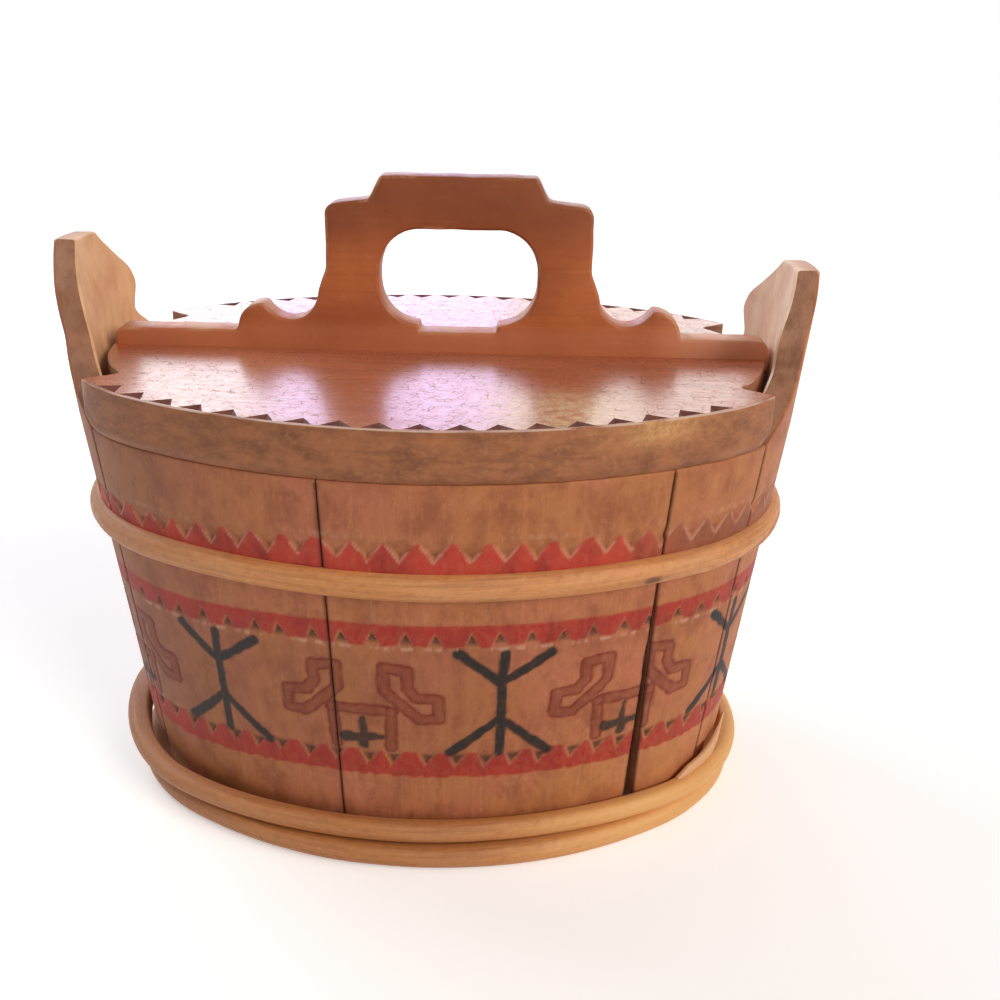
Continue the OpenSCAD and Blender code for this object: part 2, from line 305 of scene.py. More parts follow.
CROSS_STROKES = [([(0.1, 28.2), (0.0, 22.6)], 0.5, 0.95), ([(-3.0, 24.0), (3.3, 24.5)], 1.15, 0.75)]
TREE_RUNS = (-35.5, 13.4, 59.6, 105.5, 151.0, -127.0, -82.0)
KNOT_RUNS = (-9.7, 35.4, 82.5, 128.5, -150.0, -105.0, -59.5)

# Black figures: runs of their middles, strokes, raggedness, soft edge of the paint and its cover
BLACK_FIGURES = (
    (TREE_RUNS, TREE_STROKES, 0.35, (-0.22, 0.15), 1.0),
    (KNOT_RUNS, CROSS_STROKES, 0.5, (-0.25, 0.2), 0.92),
)

# Knots: raggedness, cover and soft edge of the body, cover of its outline and depth of the groove along it
KNOT_RAGGED = 0.3
KNOT_BODY = 0.6
KNOT_EDGE = (-0.1, 0.2)
KNOT_LINE = 0.4
LINE_IN = 0.15
LINE_REACH = 0.28
GROOVE_CUT = 0.14
GROOVE_IN = 0.1


def near(run, middle):
    """Runs as seen from a middle, the short way round."""
    return (run - middle + HALF_WAY) % AROUND - HALF_WAY


def stroke_distance(x, y, points, start=0.0, end=0.0):
    """Distance from a stroke drawn through points, whose half width goes from start to end."""
    best = np.full(np.shape(x), np.inf)
    parts = len(points) - 1
    for k, ((ax, ay), (bx, by)) in enumerate(zip(points[:-1], points[1:])):
        dx, dy = bx - ax, by - ay
        t = np.clip(((x - ax) * dx + (y - ay) * dy) / (dx * dx + dy * dy), 0.0, 1.0)
        half = start + (end - start) * (k + t) / parts
        best = np.minimum(best, np.hypot(x - ax - t * dx, y - ay - t * dy) - half)
    return best


def chip_fields(run, height, band):
    """Depth of a band's chips, and how far a point lies inside the nearest chip's edges."""
    order = np.round(near(run, band["phase"]) / CHIP_PITCH)
    chance = np.random.default_rng(band["seed"]).random((2, CHIP_COUNT + 1)) - 0.5
    pick = order.astype(int) % CHIP_COUNT
    x = near(run, band["phase"] + order * CHIP_PITCH) - 2 * CHIP_JITTER * chance[0][pick]
    z = height - CHIP_JITTER * chance[1][pick]
    depth = np.full(np.shape(x), np.inf)
    inside = np.full(np.shape(x), np.inf)
    corners = band["chip"]
    for (ax, ay), (bx, by), slope in zip(corners, corners[1:] + corners[:1], band["slopes"]):
        length = math.hypot(bx - ax, by - ay)
        away = ((bx - ax) * (z - ay) - (by - ay) * (x - ax)) / length
        depth = np.minimum(depth, away * slope)
        inside = np.minimum(inside, away)
    return np.clip(depth, 0.0, band["deep"]), inside


def decorate(run, height):
    """Depth of carving and the paint layers on the outer face of the wall, among them painted shade in the
    chip hollows and painted highlight along the chips' edges.
    """
    sideways = near(run, 0.0)
    gone = hump(sideways, *WORN_RUNS)
    height = height + DROOP * hump(-sideways, *DROOP_RUNS)
    ragged = wander(run, height, cell=1.1, seed=21) - 0.5
    depth, red, knot, dark, pale, cut = np.zeros((6, *np.shape(run)))
    for band in BANDS:
        low, high = band["low"], band["high"]
        chip, inside = chip_fields(run, height, band)
        depth = np.maximum(depth, chip)
        # Painted shade in the chip hollows, darker where a chip is deeper
        shallow, steep, shade = band["dark"]
        cut = np.maximum(cut, shade * smooth_step(shallow, steep, chip))
        edge = BAND_RAGGED * ragged
        field = smooth_step(low - BAND_SOFT, low + BAND_SOFT, height + edge)
        field *= fade(high - BAND_SOFT, high + BAND_SOFT, height + BAND_TOP_SHARE * edge)
        painted = field * fade(-CHIP_SOFT, CHIP_SOFT, inside)
        lost = band["wear"] * gone
        red = np.maximum(red, painted * (1 - lost))
        cut = np.maximum(cut, WORN_SHADE * painted * lost)
        # Pale lines along the chips' edges: fresh cut wood and painted highlight
        within = fade(*PALE_WITHIN, np.abs(height - (low + high) / 2) / (high - low))
        rim = band["pale"] * bell(inside + CHIP_SOFT, PALE_REACH) * within
        breaks = smooth_step(*PALE_BREAKS, wander(run, height, cell=1.6, seed=band["seed"] + PALE_SEEDS))
        pale = np.maximum(pale, rim * breaks)
    chafed = sum(strength * bell(height - middle, reach) for middle, reach, strength in CHAFED)
    breaks = smooth_step(*CHAFED_BREAKS, wander(run, height * 0.4, cell=0.5, seed=31))
    pale = np.maximum(pale, chafed * breaks)
    for middles, strokes, rough, soft, cover in BLACK_FIGURES:
        for middle in middles:
            for stroke in strokes:
                away = stroke_distance(near(run, middle), height, *stroke) + rough * ragged
                dark = np.maximum(dark, cover * fade(*soft, away))
    for middle in KNOT_RUNS:
        for stroke in KNOT_STROKES:
            away = stroke_distance(np.abs(near(run, middle)), height, *stroke) + KNOT_RAGGED * ragged
            body = KNOT_BODY * fade(*KNOT_EDGE, away)
            knot = np.maximum(knot, body + KNOT_LINE * bell(away + LINE_IN, LINE_REACH))
            depth = np.maximum(depth, GROOVE_CUT * bell(away + GROOVE_IN, LINE_REACH))
    return depth, {"red": red, "knot": knot, "dark": dark, "pale": np.clip(pale, 0, 1), "cut": cut}


def edge_round(away, radius):
    """How far a rounded edge has fallen back at a distance from the edge."""
    short = np.clip(radius - away, 0.0, radius)
    return radius - np.sqrt(radius**2 - short**2)


# Materials
def rgb(red, green, blue):
    """Linear colour with full cover from a screen colour of 0 to 255."""
    def linear(value):
        value /= 255
        return value / 12.92 if value <= 0.04045 else ((value + 0.055) / 1.055) ** 2.4

    return (linear(red), linear(green), linear(blue), 1.0)


class Graph:
    """The nodes of a material or of the world, and the colour of wood that a material builds up."""

    def __init__(self, owner):
        owner.use_nodes = True
        self.owner = owner
        self.tree = owner.node_tree
        self.wood = None

    def feed(self, socket, value):
        """Links a socket to another, or sets it to a constant."""
        if isinstance(value, bpy.types.NodeSocket):
            self.tree.links.new(value, socket)
        else:
            socket.default_value = value

    def node(self, kind, inputs, **settings):
        """A new node with its settings, its inputs linked or set."""
        made = self.tree.nodes.new("ShaderNode" + kind)
        for name, value in settings.items():
            setattr(made, name, value)
        for key, value in inputs.items():
            self.feed(made.inputs[key], value)
        return made

    def layer(self, name, output="Fac"):
        """A layer of the mesh, which goes from 0 to 1 where it is paint."""
        return self.node("Attribute", {}, attribute_name=name).outputs[output]

    def drawn(self, vector, stretch):
        """Coordinates drawn out along the fibres."""
        return self.node("Mapping", {"Vector": vector, "Scale": stretch}).outputs["Vector"]

    def grain(self, stretch):
        """The mesh's own grain coordinates in millimetres, drawn out along the fibres."""
        return self.drawn(self.layer("grain", "Vector"), stretch)

    def place(self, stretch):
        """Coordinates of the object in millimetres, drawn out along the fibres."""
        return self.drawn(self.node("TexCoord", {}).outputs["Object"], [value / MM for value in stretch])

    def reach(self, axis):
        """How far a place lies along an axis in millimetres."""
        return self.node("SeparateXYZ", {0: self.place((1.0, 1.0, 1.0))}).outputs[axis]

    def noise(self, vector, scale, detail=4.0, roughness=0.55, twist=0.0):
        """Noise from 0 to 1."""
        inputs = {"Vector": vector, "Scale": scale, "Detail": detail,
                  "Roughness": roughness, "Distortion": twist}
        return self.node("TexNoise", inputs).outputs["Fac"]

    def cells(self, vector, scale):
        """Distance to the edges of cracked cells."""
        inputs = {"Vector": vector, "Scale": scale}
        return self.node("TexVoronoi", inputs, feature="DISTANCE_TO_EDGE").outputs["Distance"]

    def span(self, value, low, high, to_low=0.0, to_high=1.0):
        """Maps a range of values smoothly onto another."""
        inputs = {"Value": value, "From Min": low, "From Max": high, "To Min": to_low, "To Max": to_high}
        return self.node("MapRange", inputs, interpolation_type="SMOOTHSTEP").outputs["Result"]

    def maths(self, operation, result, *values):
        """Result of an operation with each of the values in turn."""
        for value in values:
            result = self.node("Math", {0: result, 1: value}, operation=operation).outputs[0]
        return result

    def times(self, *values):
        return self.maths("MULTIPLY", *values)

    def plus(self, *values):
        return self.maths("ADD", *values)

    def blend(self, factor, first, second):
        """Colour that goes from the first to the second with the factor; a tuple is a screen colour."""
        made = self.node("Mix", {0: factor}, data_type="RGBA")
        sockets = [socket for socket in made.inputs if socket.type == "RGBA"]
        for socket, colour in zip(sockets, (first, second)):
            self.feed(socket, rgb(*colour) if isinstance(colour, tuple) else colour)
        return next(socket for socket in made.outputs if socket.type == "RGBA")

    def wash(self, colour, *covers):
        """Lays a colour over the wood, as far as the product of its covers goes."""
        self.wood = self.blend(self.times(*covers), self.wood, colour)

    def finish(self, rough, height, depth, gloss=0.5, coat=0.0, coat_rough=0.2):
        """Feeds the shader with the wood's colour, its roughness and bumps of a depth in millimetres."""
        bumps = {"Strength": 1.0, "Distance": depth * MM, "Height": height}
        normal = self.node("Bump", bumps).outputs["Normal"]
        inputs = {"Base Color": self.wood, "Roughness": rough, "Normal": normal, "Specular IOR Level": gloss,
                  "Coat Weight": coat, "Coat Roughness": coat_rough}
        if coat:
            inputs["Coat Normal"] = normal
        for name, value in inputs.items():
            self.feed(self.tree.nodes["Principled BSDF"].inputs[name], value)
        return self.owner


def new_wood(name):
    """Nodes of a new material."""
    return Graph(bpy.data.materials.new(name))


def stave_finish():
    """Shaved stave wood with worn varnish, carved chips and paint, with painted light and shade on it."""
    g = new_wood("stave_finish")
    fibre = g.noise(g.grain((1.0, 1.0, 0.03)), 1.5, 6.0, 0.62, 0.4)
    streak = g.noise(g.grain((0.5, 0.5, 0.02)), 1.6, 4.0)
    broad = g.noise(g.grain((0.07, 0.07, 0.04)), 1.0, 3.0)
    blotch = g.noise(g.grain((0.2, 0.2, 0.13)), 1.0, 4.0, 0.6)
    smudge = g.noise(g.grain((0.42, 0.42, 0.3)), 1.0, 5.0, 0.64, 0.3)
    mottle = g.noise(g.grain((0.9, 0.9, 0.6)), 1.0, 5.0, 0.65)
    across = g.reach("X")
    up = g.reach("Z")
    g.wood = g.blend(g.span(broad, 0.35, 0.65), (184, 109, 77), (181, 114, 67))
    g.wash((146, 79, 50), g.span(blotch, 0.42, 0.68, 0.0, 0.75))
    g.wash((132, 74, 48), g.span(smudge, 0.52, 0.72, 0.0, 0.5))
    g.wash((200, 138, 96), g.span(smudge, 0.28, 0.45, 0.4, 0.0))
    g.wash((146, 88, 60), g.span(fibre, 0.4, 0.75, 0.0, 0.25))
    g.wash((198, 146, 104), g.span(streak, 0.55, 0.75, 0.0, 0.2))
    g.wash((206, 146, 106), g.span(mottle, 0.52, 0.72, 0.0, 0.3))
    # Painted cool shade: the wall greyer and darker towards its left end
    g.wash((112, 80, 66), g.span(across, -50.0, -25.0, 0.3, 0.0))
    # Painted warm light: the lower right of the wall lighter and more golden
    g.wash((232, 160, 104), g.span(across, 15.0, 42.0), g.span(up, 14.0, 26.0, 0.27, 0.0))
    # Painted shade: darker over the middle heights towards the left of the front
    painted_shade_left_front = g.times(g.span(up, 16.0, 24.0, 0.0, 0.2), g.span(up, 40.0, 46.0, 1.0, 0.0))
    g.wash((104, 62, 40), painted_shade_left_front, g.span(across, 8.0, 26.0, 1.0, 0.0))
    # Inner faces: pale and darker tones mixed at random, both made lighter towards the right by painted
    # light
    painted_light_to_right = g.span(across, -20.0, 20.0)
    light = g.blend(painted_light_to_right, (238, 190, 146), (255, 226, 198))
    shade = g.blend(painted_light_to_right, (218, 164, 120), (242, 202, 172))
    inner = g.blend(g.span(blotch, 0.35, 0.7), light, shade)
    inner = g.blend(g.span(smudge, 0.5, 0.75, 0.0, 0.35), inner, (206, 158, 122))
    g.wash(inner, g.layer("bare"))
    worn = g.span(mottle, 0.3, 0.65, 1.0, 0.72)
    fresh_paint = g.blend(g.span(up, 46.0, 54.0), (168, 33, 27), (190, 52, 43))
    paint = g.blend(g.span(blotch, 0.4, 0.7), fresh_paint, (146, 32, 27))
    g.wash(paint, g.layer("red"), worn)
    g.wash((108, 14, 3), g.layer("knot"), worn)
    g.wash((6, 7, 9), g.layer("dark"), g.span(mottle, 0.35, 0.75, 1.0, 0.88))
    # Cut layer: painted shade in the chip hollows, with the dark joints and the darker wood where band paint
    # wore off
    g.wash((66, 34, 24), g.layer("cut"), g.span(mottle, 0.2, 0.8, 1.0, 0.7))
    # Pale layer: fresh cut wood and painted highlight along the chips, chafed lines along the bands, and
    # painted highlight on the ear tips
    g.wash((220, 176, 150), g.layer("pale"), 0.65)
    height = g.plus(fibre, g.times(mottle, 0.6))
    return g.finish(g.span(mottle, 0.25, 0.75, 0.5, 0.66), height, 0.09, gloss=0.35)


def side_finish():
    """Weathered narrow sides of the staves, which show at the ears."""
    g = new_wood("side_finish")
    fibre = g.noise(g.grain((1.0, 1.0, 0.03)), 1.5, 6.0, 0.6, 0.4)
    blotch = g.noise(g.grain((0.2, 0.2, 0.12)), 1.0, 4.0, 0.6)
    g.wood = g.blend(g.span(blotch, 0.35, 0.7), (172, 122, 94), (132, 88, 64))
    g.wash((112, 70, 50), g.span(fibre, 0.45, 0.8, 0.0, 0.35))
    return g.finish(g.span(fibre, 0.3, 0.7, 0.5, 0.66), fibre, 0.08, gloss=0.35)


def hoop_finish():
    """Peeled withy, pale along its back, with painted warm light on the lower hoop's right, painted shade
    towards its left and painted cool shade at the left end.
    """
    g = new_wood("hoop_finish")
    fibre = g.noise(g.grain((1.2, 1.0, 0.04)), 1.2, 5.0, 0.6, 0.4)
    broad = g.noise(g.grain((0.3, 0.3, 0.035)), 1.0, 3.0)
    mottle = g.noise(g.grain((0.8, 0.8, 0.6)), 1.0, 6.0, 0.68)
    across = g.reach("X")
    up = g.reach("Z")
    g.wood = g.blend(g.span(broad, 0.35, 0.68), (214, 150, 99), (214, 142, 80))
    g.wash((166, 104, 60), g.span(fibre, 0.42, 0.72, 0.0, 0.6))
    g.wash((172, 108, 68), g.span(mottle, 0.48, 0.72, 0.0, 0.55))
    g.wash((232, 184, 138), g.span(mottle, 0.25, 0.45, 0.5, 0.0))
    # Painted warm light: the lower hoop lighter and more golden towards the right
    g.wash((248, 192, 118), g.span(across, 10.0, 42.0), g.span(up, 12.0, 24.0, 0.6, 0.0))
    # Painted shade: the lower hoop darker towards the left
    g.wash((136, 80, 44), g.span(across, 0.0, 26.0, 0.3, 0.0), g.span(up, 12.0, 24.0, 1.0, 0.0))
    # Painted cool shade: the hoops greyer towards the left end
    g.wash((140, 98, 84), g.span(across, -52.0, -28.0, 0.3, 0.0))
    g.wash((104, 60, 36), g.layer("dark"))
    g.wash((214, 168, 140), g.layer("pale"))
    height = g.plus(g.times(fibre, 0.6), g.times(mottle, 0.6))
    return g.finish(g.span(mottle, 0.25, 0.75, 0.42, 0.6), height, 0.16, gloss=0.45)


def lid_finish():
    """Dark lacquered board, glossy on top, its lacquer crazed and worn in spots, with a painted pale sheen
    towards the front right.
    """
    g = new_wood("lid_finish")
    fibre = g.noise(g.place((0.035, 1.0, 1.0)), 1.2, 6.0, 0.6, 0.4)
    broad = g.noise(g.place((0.05, 0.05, 0.05)), 1.0, 3.0)
    mottle = g.noise(g.place((0.45, 0.45, 0.45)), 1.0, 6.0, 0.68)
    speck = g.noise(g.place((1.4, 1.4, 1.4)), 1.0, 4.0, 0.7)
    crazed = g.cells(g.place((1.0, 1.0, 1.0)), 0.6)
    across = g.reach("X")
    g.wood = g.blend(g.span(fibre, 0.3, 0.7), (192, 110, 76), (156, 86, 60))
    g.wash((194, 120, 82), g.span(mottle, 0.48, 0.72, 0.0, 0.5))
    g.wash((204, 136, 92), g.span(broad, 0.55, 0.72, 0.0, 0.4))
    # Painted reflection: a pale tan sheen towards the front right of the top
    painted_sheen_patch = g.times(g.span(across, 4.0, 16.0), g.span(across, 26.0, 40.0, 1.0, 0.0))
    front = g.span(g.reach("Y"), -34.0, -20.0, 0.8, 0.0)
    g.wash((232, 196, 150), painted_sheen_patch, front, g.span(mottle, 0.36, 0.6, 0.25, 1.0))
    crack = g.times(g.span(crazed, 0.0, 0.07, 1.0, 0.0), g.span(mottle, 0.45, 0.6))
    g.wash((66, 36, 30), crack, 0.6)
    worn = g.plus(g.span(mottle, 0.4, 0.75, 0.3, 0.44), g.span(speck, 0.45, 0.7, 0.0, 0.16))
    rough = g.plus(worn, g.times(crack, 0.4))
    height = g.plus(g.times(mottle, 0.3), g.times(speck, 0.7), g.times(crack, -0.3))
    return g.finish(rough, height, 0.03, gloss=0.5, coat=0.45, coat_rough=0.14)


def rim_finish():
    """Satin edge of the lid, stained by handling, with a painted golden highlight streak."""
    g = new_wood("rim_finish")
    fibre = g.noise(g.place((0.05, 0.05, 1.0)), 1.4, 6.0, 0.6, 0.4)
    blotch = g.noise(g.place((0.2, 0.2, 0.4)), 1.0, 6.0, 0.7)
    mottle = g.noise(g.place((0.9, 0.9, 1.1)), 1.0, 6.0, 0.72)
    g.wood = g.blend(g.span(blotch, 0.35, 0.68), (166, 103, 64), (124, 75, 46))
    g.wash((116, 70, 48), g.span(fibre, 0.45, 0.8, 0.0, 0.35))
    g.wash((186, 124, 84), g.span(mottle, 0.48, 0.7, 0.0, 0.5))
    # Painted golden highlight streak along the rim
    g.wash((222, 166, 106), g.layer("gold"), g.span(mottle, 0.3, 0.65, 0.25, 0.7))
    # Painted highlights along the top arris and on the front left horn's tip
    g.wash((228, 196, 178), g.layer("pale"))
    height = g.plus(g.times(fibre, 0.5), mottle)
    return g.finish(g.span(mottle, 0.3, 0.7, 0.46, 0.62), height, 0.09, gloss=0.4)


def cut_finish():
    """Knife cuts in the lid's edge, darker brown than its top."""
    g = new_wood("cut_finish")
    fibre = g.noise(g.place((0.06, 1.0, 1.0)), 1.6, 5.0)
    g.wood = g.blend(g.span(fibre, 0.3, 0.7), (122, 62, 44), (86, 42, 32))
    return g.finish(g.span(fibre, 0.3, 0.7, 0.55, 0.7), fibre, 0.06)


def handle_finish():
    """Orange-brown handle board, darker towards its top, with pale edges of wear and painted highlight, and
    painted light on its rail.
    """
    g = new_wood("handle_finish")
    fibre = g.noise(g.place((0.03, 1.0, 1.0)), 1.1, 6.0, 0.6, 0.3)
    broad = g.noise(g.place((0.05, 0.05, 0.09)), 1.0, 3.0)
    mottle = g.noise(g.place((0.4, 0.4, 0.4)), 1.0, 6.0, 0.66)
    up = g.reach("Z")
    g.wood = g.blend(g.span(broad, 0.38, 0.66), (186, 102, 52), (164, 86, 46))
    g.wash((142, 72, 38), g.span(fibre, 0.45, 0.8, 0.0, 0.35))
    g.wash((120, 60, 34), g.span(mottle, 0.55, 0.8, 0.0, 0.4))
    g.wash((208, 128, 76), g.span(mottle, 0.25, 0.42, 0.35, 0.0))
    # Darker towards the top of the grip
    g.wash((112, 50, 14), g.span(up, LID_TOP + 14.0, LID_TOP + 26.0, 0.0, 0.7))
    # Painted light: the rail lighter just above the lid
    g.wash((196, 122, 86), g.span(up, LID_TOP + 3.0, LID_TOP + 6.0, 0.5, 0.0))
    # Painted light: the right end of the rail lighter, where the ear's shadow falls
    painted_light_rail_end = g.span(g.reach("X"), 34.0, 50.0, 0.0, 0.7)
    g.wash((226, 156, 122), painted_light_rail_end, g.span(up, LID_TOP + 4.0, LID_TOP + 8.0, 1.0, 0.0))
    # Edge layer: pale rounded edges, partly wear and partly painted highlight
    g.wash((196, 146, 108), g.layer("edge"), g.span(mottle, 0.35, 0.65))
    height = g.plus(g.times(fibre, 0.6), g.times(mottle, 0.8))
    return g.finish(g.span(mottle, 0.3, 0.75, 0.4, 0.58), height, 0.08, gloss=0.4)


def plain_finish(name, light, dark):
    """Bare wood of the pieces that are mostly hidden."""
    g = new_wood(name)
    fibre = g.noise(g.place((0.04, 1.0, 1.0)), 1.2, 6.0, 0.6, 0.3)
    mottle = g.noise(g.place((0.3, 0.3, 0.3)), 1.0, 5.0, 0.65)
    g.wood = g.blend(g.span(fibre, 0.3, 0.7), light, dark)
    g.wash((120, 80, 50), g.span(mottle, 0.55, 0.8, 0.0, 0.4))
    return g.finish(g.span(mottle, 0.3, 0.7, 0.55, 0.75), fibre, 0.12)


STAVE_FINISH = stave_finish()
SIDE_FINISH = side_finish()
HOOP_FINISH = hoop_finish()
LID_FINISH = lid_finish()
RIM_FINISH = rim_finish()
CUT_FINISH = cut_finish()
HANDLE_FINISH = handle_finish()
BOARD_FINISH = plain_finish("board_finish", (206, 166, 120), (170, 124, 82))
PEG_FINISH = plain_finish("peg_finish", (214, 176, 130), (180, 136, 92))

# Heights of the rows on a stave's outer face, close together where it is carved and painted
LOW_ROWS = np.array([0.0, 0.2, 0.6, 3.0, 6.0, 9.0, 11.0, 12.5, 13.5])
TOP_ROWS = np.array([7.0, 6.0, 5.0, 4.0, 3.0, 2.0, 1.2, 0.8, 0.5, 0.3, 0.15, 0.05, 0.0])
FINE = 0.3
FINE_ROWS = np.arange(14.0, RIM - 7.2, FINE)

# Groove for the bottom board, and the seat that the lower hoop has in the ear staves
GROOVE_LOW = 4.9
GROOVE_HIGH = 9.6
GROOVE_D = 2.0
SEAT_H = 10.3
SEAT_D = 1.5

# Surface and columns of a stave, and the heights over which the ear tips get a painted highlight
EDGE_R = 0.45
SHAVED_D = 0.12
JOINT_DIRT = 0.75
DIRT_REACH = (0.1, 0.55)
CLEAN_TOP = 0.5
TIP_HIGHLIGHT = (RIM + 10.0, RIM + 20.0)
COLUMN_STEP = 0.33
EDGE_SHARES = np.array([0.0, 0.0015, 0.004, 0.008, 0.013])


def shares(width):
    """Shares of a stave's width at which its columns stand, closer at both edges."""
    inner = np.linspace(0.02, 0.98, max(8, int(width / COLUMN_STEP)))
    return np.concatenate([EDGE_SHARES, inner, 1 - EDGE_SHARES[::-1]])


def stave(name, sides, outer_rows, inner_rows):
    """Closed stave from rows of height and offset; sides gives the runs of its edges on such rows."""
    lefts, rights = sides(*outer_rows.T)
    t = shares(float(np.max(rights - lefts)))

    def spread(rows):
        """Runs and heights of the points on such rows, and how far they lie from the sides and the top."""
        left, right = [edge[:, None] for edge in sides(*rows.T)]
        run = left * (1 - t) + right * t
        height = np.repeat(rows[:, :1], len(t), axis=1)
        return run, height, np.minimum(run - left, right - run), rows[-1, 0] - height

    shape = Shape()
    run, height, to_side, to_top = spread(outer_rows)
    depth, paint = decorate(run, height)
    depth = depth + edge_round(to_side, EDGE_R) + edge_round(to_top, EDGE_R)
    depth = depth + SHAVED_D * wander(run, height * 0.25, cell=6.0, seed=41)
    dirt = JOINT_DIRT * fade(*DIRT_REACH, to_side) * (height < RIM - CLEAN_TOP)
    paint["cut"] = np.maximum(paint["cut"], dirt)
    # Painted highlight on the top of the ear tips
    tip = smooth_step(*TIP_HIGHLIGHT, height) * (height > outer_rows[-1, 0] - CLEAN_TOP)
    paint["pale"] = np.maximum(paint["pale"], tip)
    outer = wall_point(run, height, outer_rows[:, 1:] - depth)
    out_grid = shape.add(outer, grain=np.stack([run, depth, height], axis=-1), **paint)
    shape.skin(out_grid)
    run, height, to_side, to_top = spread(inner_rows)
    fall = edge_round(to_side, EDGE_R) + edge_round(to_top, EDGE_R)
    inner = wall_point(run, height, inner_rows[:, 1:] + fall)
    grain = np.stack([run, np.full(run.shape, STAVE_T), height], axis=-1)
    in_grid = shape.add(inner, grain=grain, bare=np.ones(run.shape))
    shape.skin(in_grid[:, ::-1])
    shape.skin(np.stack([out_grid[-1], in_grid[-1]]))
    shape.skin(np.stack([in_grid[0], out_grid[0]]))
    if len(outer_rows) == len(inner_rows):
        shape.skin(np.stack([in_grid[:, 0], out_grid[:, 0]], axis=1), 1)
        shape.skin(np.stack([out_grid[:, -1], in_grid[:, -1]], axis=1), 1)
    else:
        shape.face(np.concatenate([out_grid[::-1, 0], in_grid[:, 0]]), 1)
        shape.face(np.concatenate([out_grid[:, -1], in_grid[::-1, -1]]), 1)
    return shape.piece(name + "_look", "tub", [name], [STAVE_FINISH, SIDE_FINISH])


# Joints of the staves as runs from the middle of the front
ACROSS = (SIDE_R + MID) / SIDE_R
RIGHT_JOINT = 36.5 * ACROSS
LEFT_JOINT = -13.5 * ACROSS
EAR_HALF_W = 24.4
EAR_A = math.asin(EAR_HALF_W / (END_R + LEAN * RIM))
EAR_MIDDLE = SIDE_RUN + END_RUN
EAR_HALF_RUN = (END_R + MID) * EAR_A
SHRINK_W = 2.2
SHRINK_H = 54.0

PLAIN_OUTER = np.array([(z, 0.0) for z in np.concatenate([LOW_ROWS, FINE_ROWS, RIM - TOP_ROWS])])
PLAIN_INNER = np.array([
    (0.0, -STAVE_T), (GROOVE_LOW, -STAVE_T), (GROOVE_LOW, GROOVE_D - STAVE_T),
    (GROOVE_HIGH, GROOVE_D - STAVE_T), (GROOVE_HIGH, -STAVE_T), (RIM / 3, -STAVE_T), (2 * RIM / 3, -STAVE_T),
    (RIM - 0.6, -STAVE_T), (RIM - 0.3, -STAVE_T), (RIM - 0.1, -STAVE_T), (RIM, -STAVE_T)])


def plain_stave(name, left, right, shrunk=False):
    """Stave between two runs, with its left side shrunk back from the joint where that is asked for."""
    def sides(heights, offsets):
        opening = np.maximum(SHRINK_W * (1 - heights / SHRINK_H), 0.0) if shrunk else 0.0 * heights
        return left + JOINT_GAP / 2 + opening, np.full(heights.shape, right - JOINT_GAP / 2)

    stave(name, sides, PLAIN_OUTER, PLAIN_INNER)


RIGHT_EAR_EDGE = EAR_MIDDLE - EAR_HALF_RUN
plain_stave("front_stave_left", -RIGHT_EAR_EDGE, LEFT_JOINT)
plain_stave("front_stave_middle", LEFT_JOINT, RIGHT_JOINT)
plain_stave("front_stave_right", RIGHT_JOINT, RIGHT_EAR_EDGE, True)
plain_stave("back_stave_right", HALF_WAY - RIGHT_EAR_EDGE, HALF_WAY + LEFT_JOINT)
plain_stave("back_stave_middle", HALF_WAY + LEFT_JOINT, HALF_WAY + RIGHT_JOINT)
plain_stave("back_stave_left", HALF_WAY + RIGHT_JOINT, HALF_WAY + RIGHT_EAR_EDGE)

# Ears: half widths of the head at heights, of which the last is the tip's
EAR_HEAD = [(2.0, 13.2), (7.0, 15.6), (10.0, 14.6), (17.5, 5.0)]
TIP_T = 4.2
TIP_IN = 0.8
LEFT_TRIM = 0.88
HEAD_STEP = 0.5
HEAD_EASE = np.linspace(-1.0, 1.0, 9)
TIP_ROWS = np.array([0.9, 0.6, 0.35, 0.2, 0.08, 0.0])
EAR_LOW_ROWS = [0.0, 0.3, 2.5, GROOVE_LOW, GROOVE_LOW, 7.0, GROOVE_HIGH, GROOVE_HIGH, SEAT_H, SEAT_H]
EAR_GROOVE_ROWS = slice(4, 7)
OVER_SEAT_ROWS = [10.9, 12.0, 13.0]
UNDER_RIM_ROWS = RIM - TOP_ROWS[:6]


def ear(name, middle, trim):
    """Ear stave with the ear above the wall's end, as high as its CAD node, its head trimmed to a share."""
    tip = high_of(name)
    lift = tip - EAR_HEAD[-1][0]
    marks = np.array([RIM] + [up + lift for up, _ in EAR_HEAD])
    widths = np.array([EAR_HALF_W] + [half * trim for _, half in EAR_HEAD])
    head = np.unique(np.concatenate([np.arange(RIM + HEAD_STEP, tip - 1.0, HEAD_STEP), marks[1:-1]]))
    wall = [EAR_LOW_ROWS, OVER_SEAT_ROWS, FINE_ROWS, UNDER_RIM_ROWS, [RIM]]
    heights = np.concatenate([*wall, head, tip - TIP_ROWS])
    share = np.clip((heights - RIM) / (tip - RIM), 0.0, 1.0)
    out = -TIP_IN * share
    out[:len(EAR_LOW_ROWS) - 1] = -SEAT_D
    inside = -STAVE_T + (STAVE_T - TIP_IN - TIP_T) * share
    inside[EAR_GROOVE_ROWS] = GROOVE_D - STAVE_T

    def sides(rows, offsets):
        half = np.mean([np.interp(rows + shift, marks, widths) for shift in HEAD_EASE], axis=0)
        radius = END_R + LEAN * rows + offsets
        angle = np.where(rows > RIM, np.arcsin(np.clip(half / radius, 0.0, 1.0)), EAR_A)
        reach = (END_R + MID) * np.minimum(angle, EAR_A) - JOINT_GAP / 2
        return middle - reach, middle + reach

    stave(name, sides, np.stack([heights, out], axis=1), np.stack([heights, inside], axis=1))


ear("ear_stave_right", EAR_MIDDLE, 1.0)
ear("ear_stave_left", -EAR_MIDDLE, LEFT_TRIM)

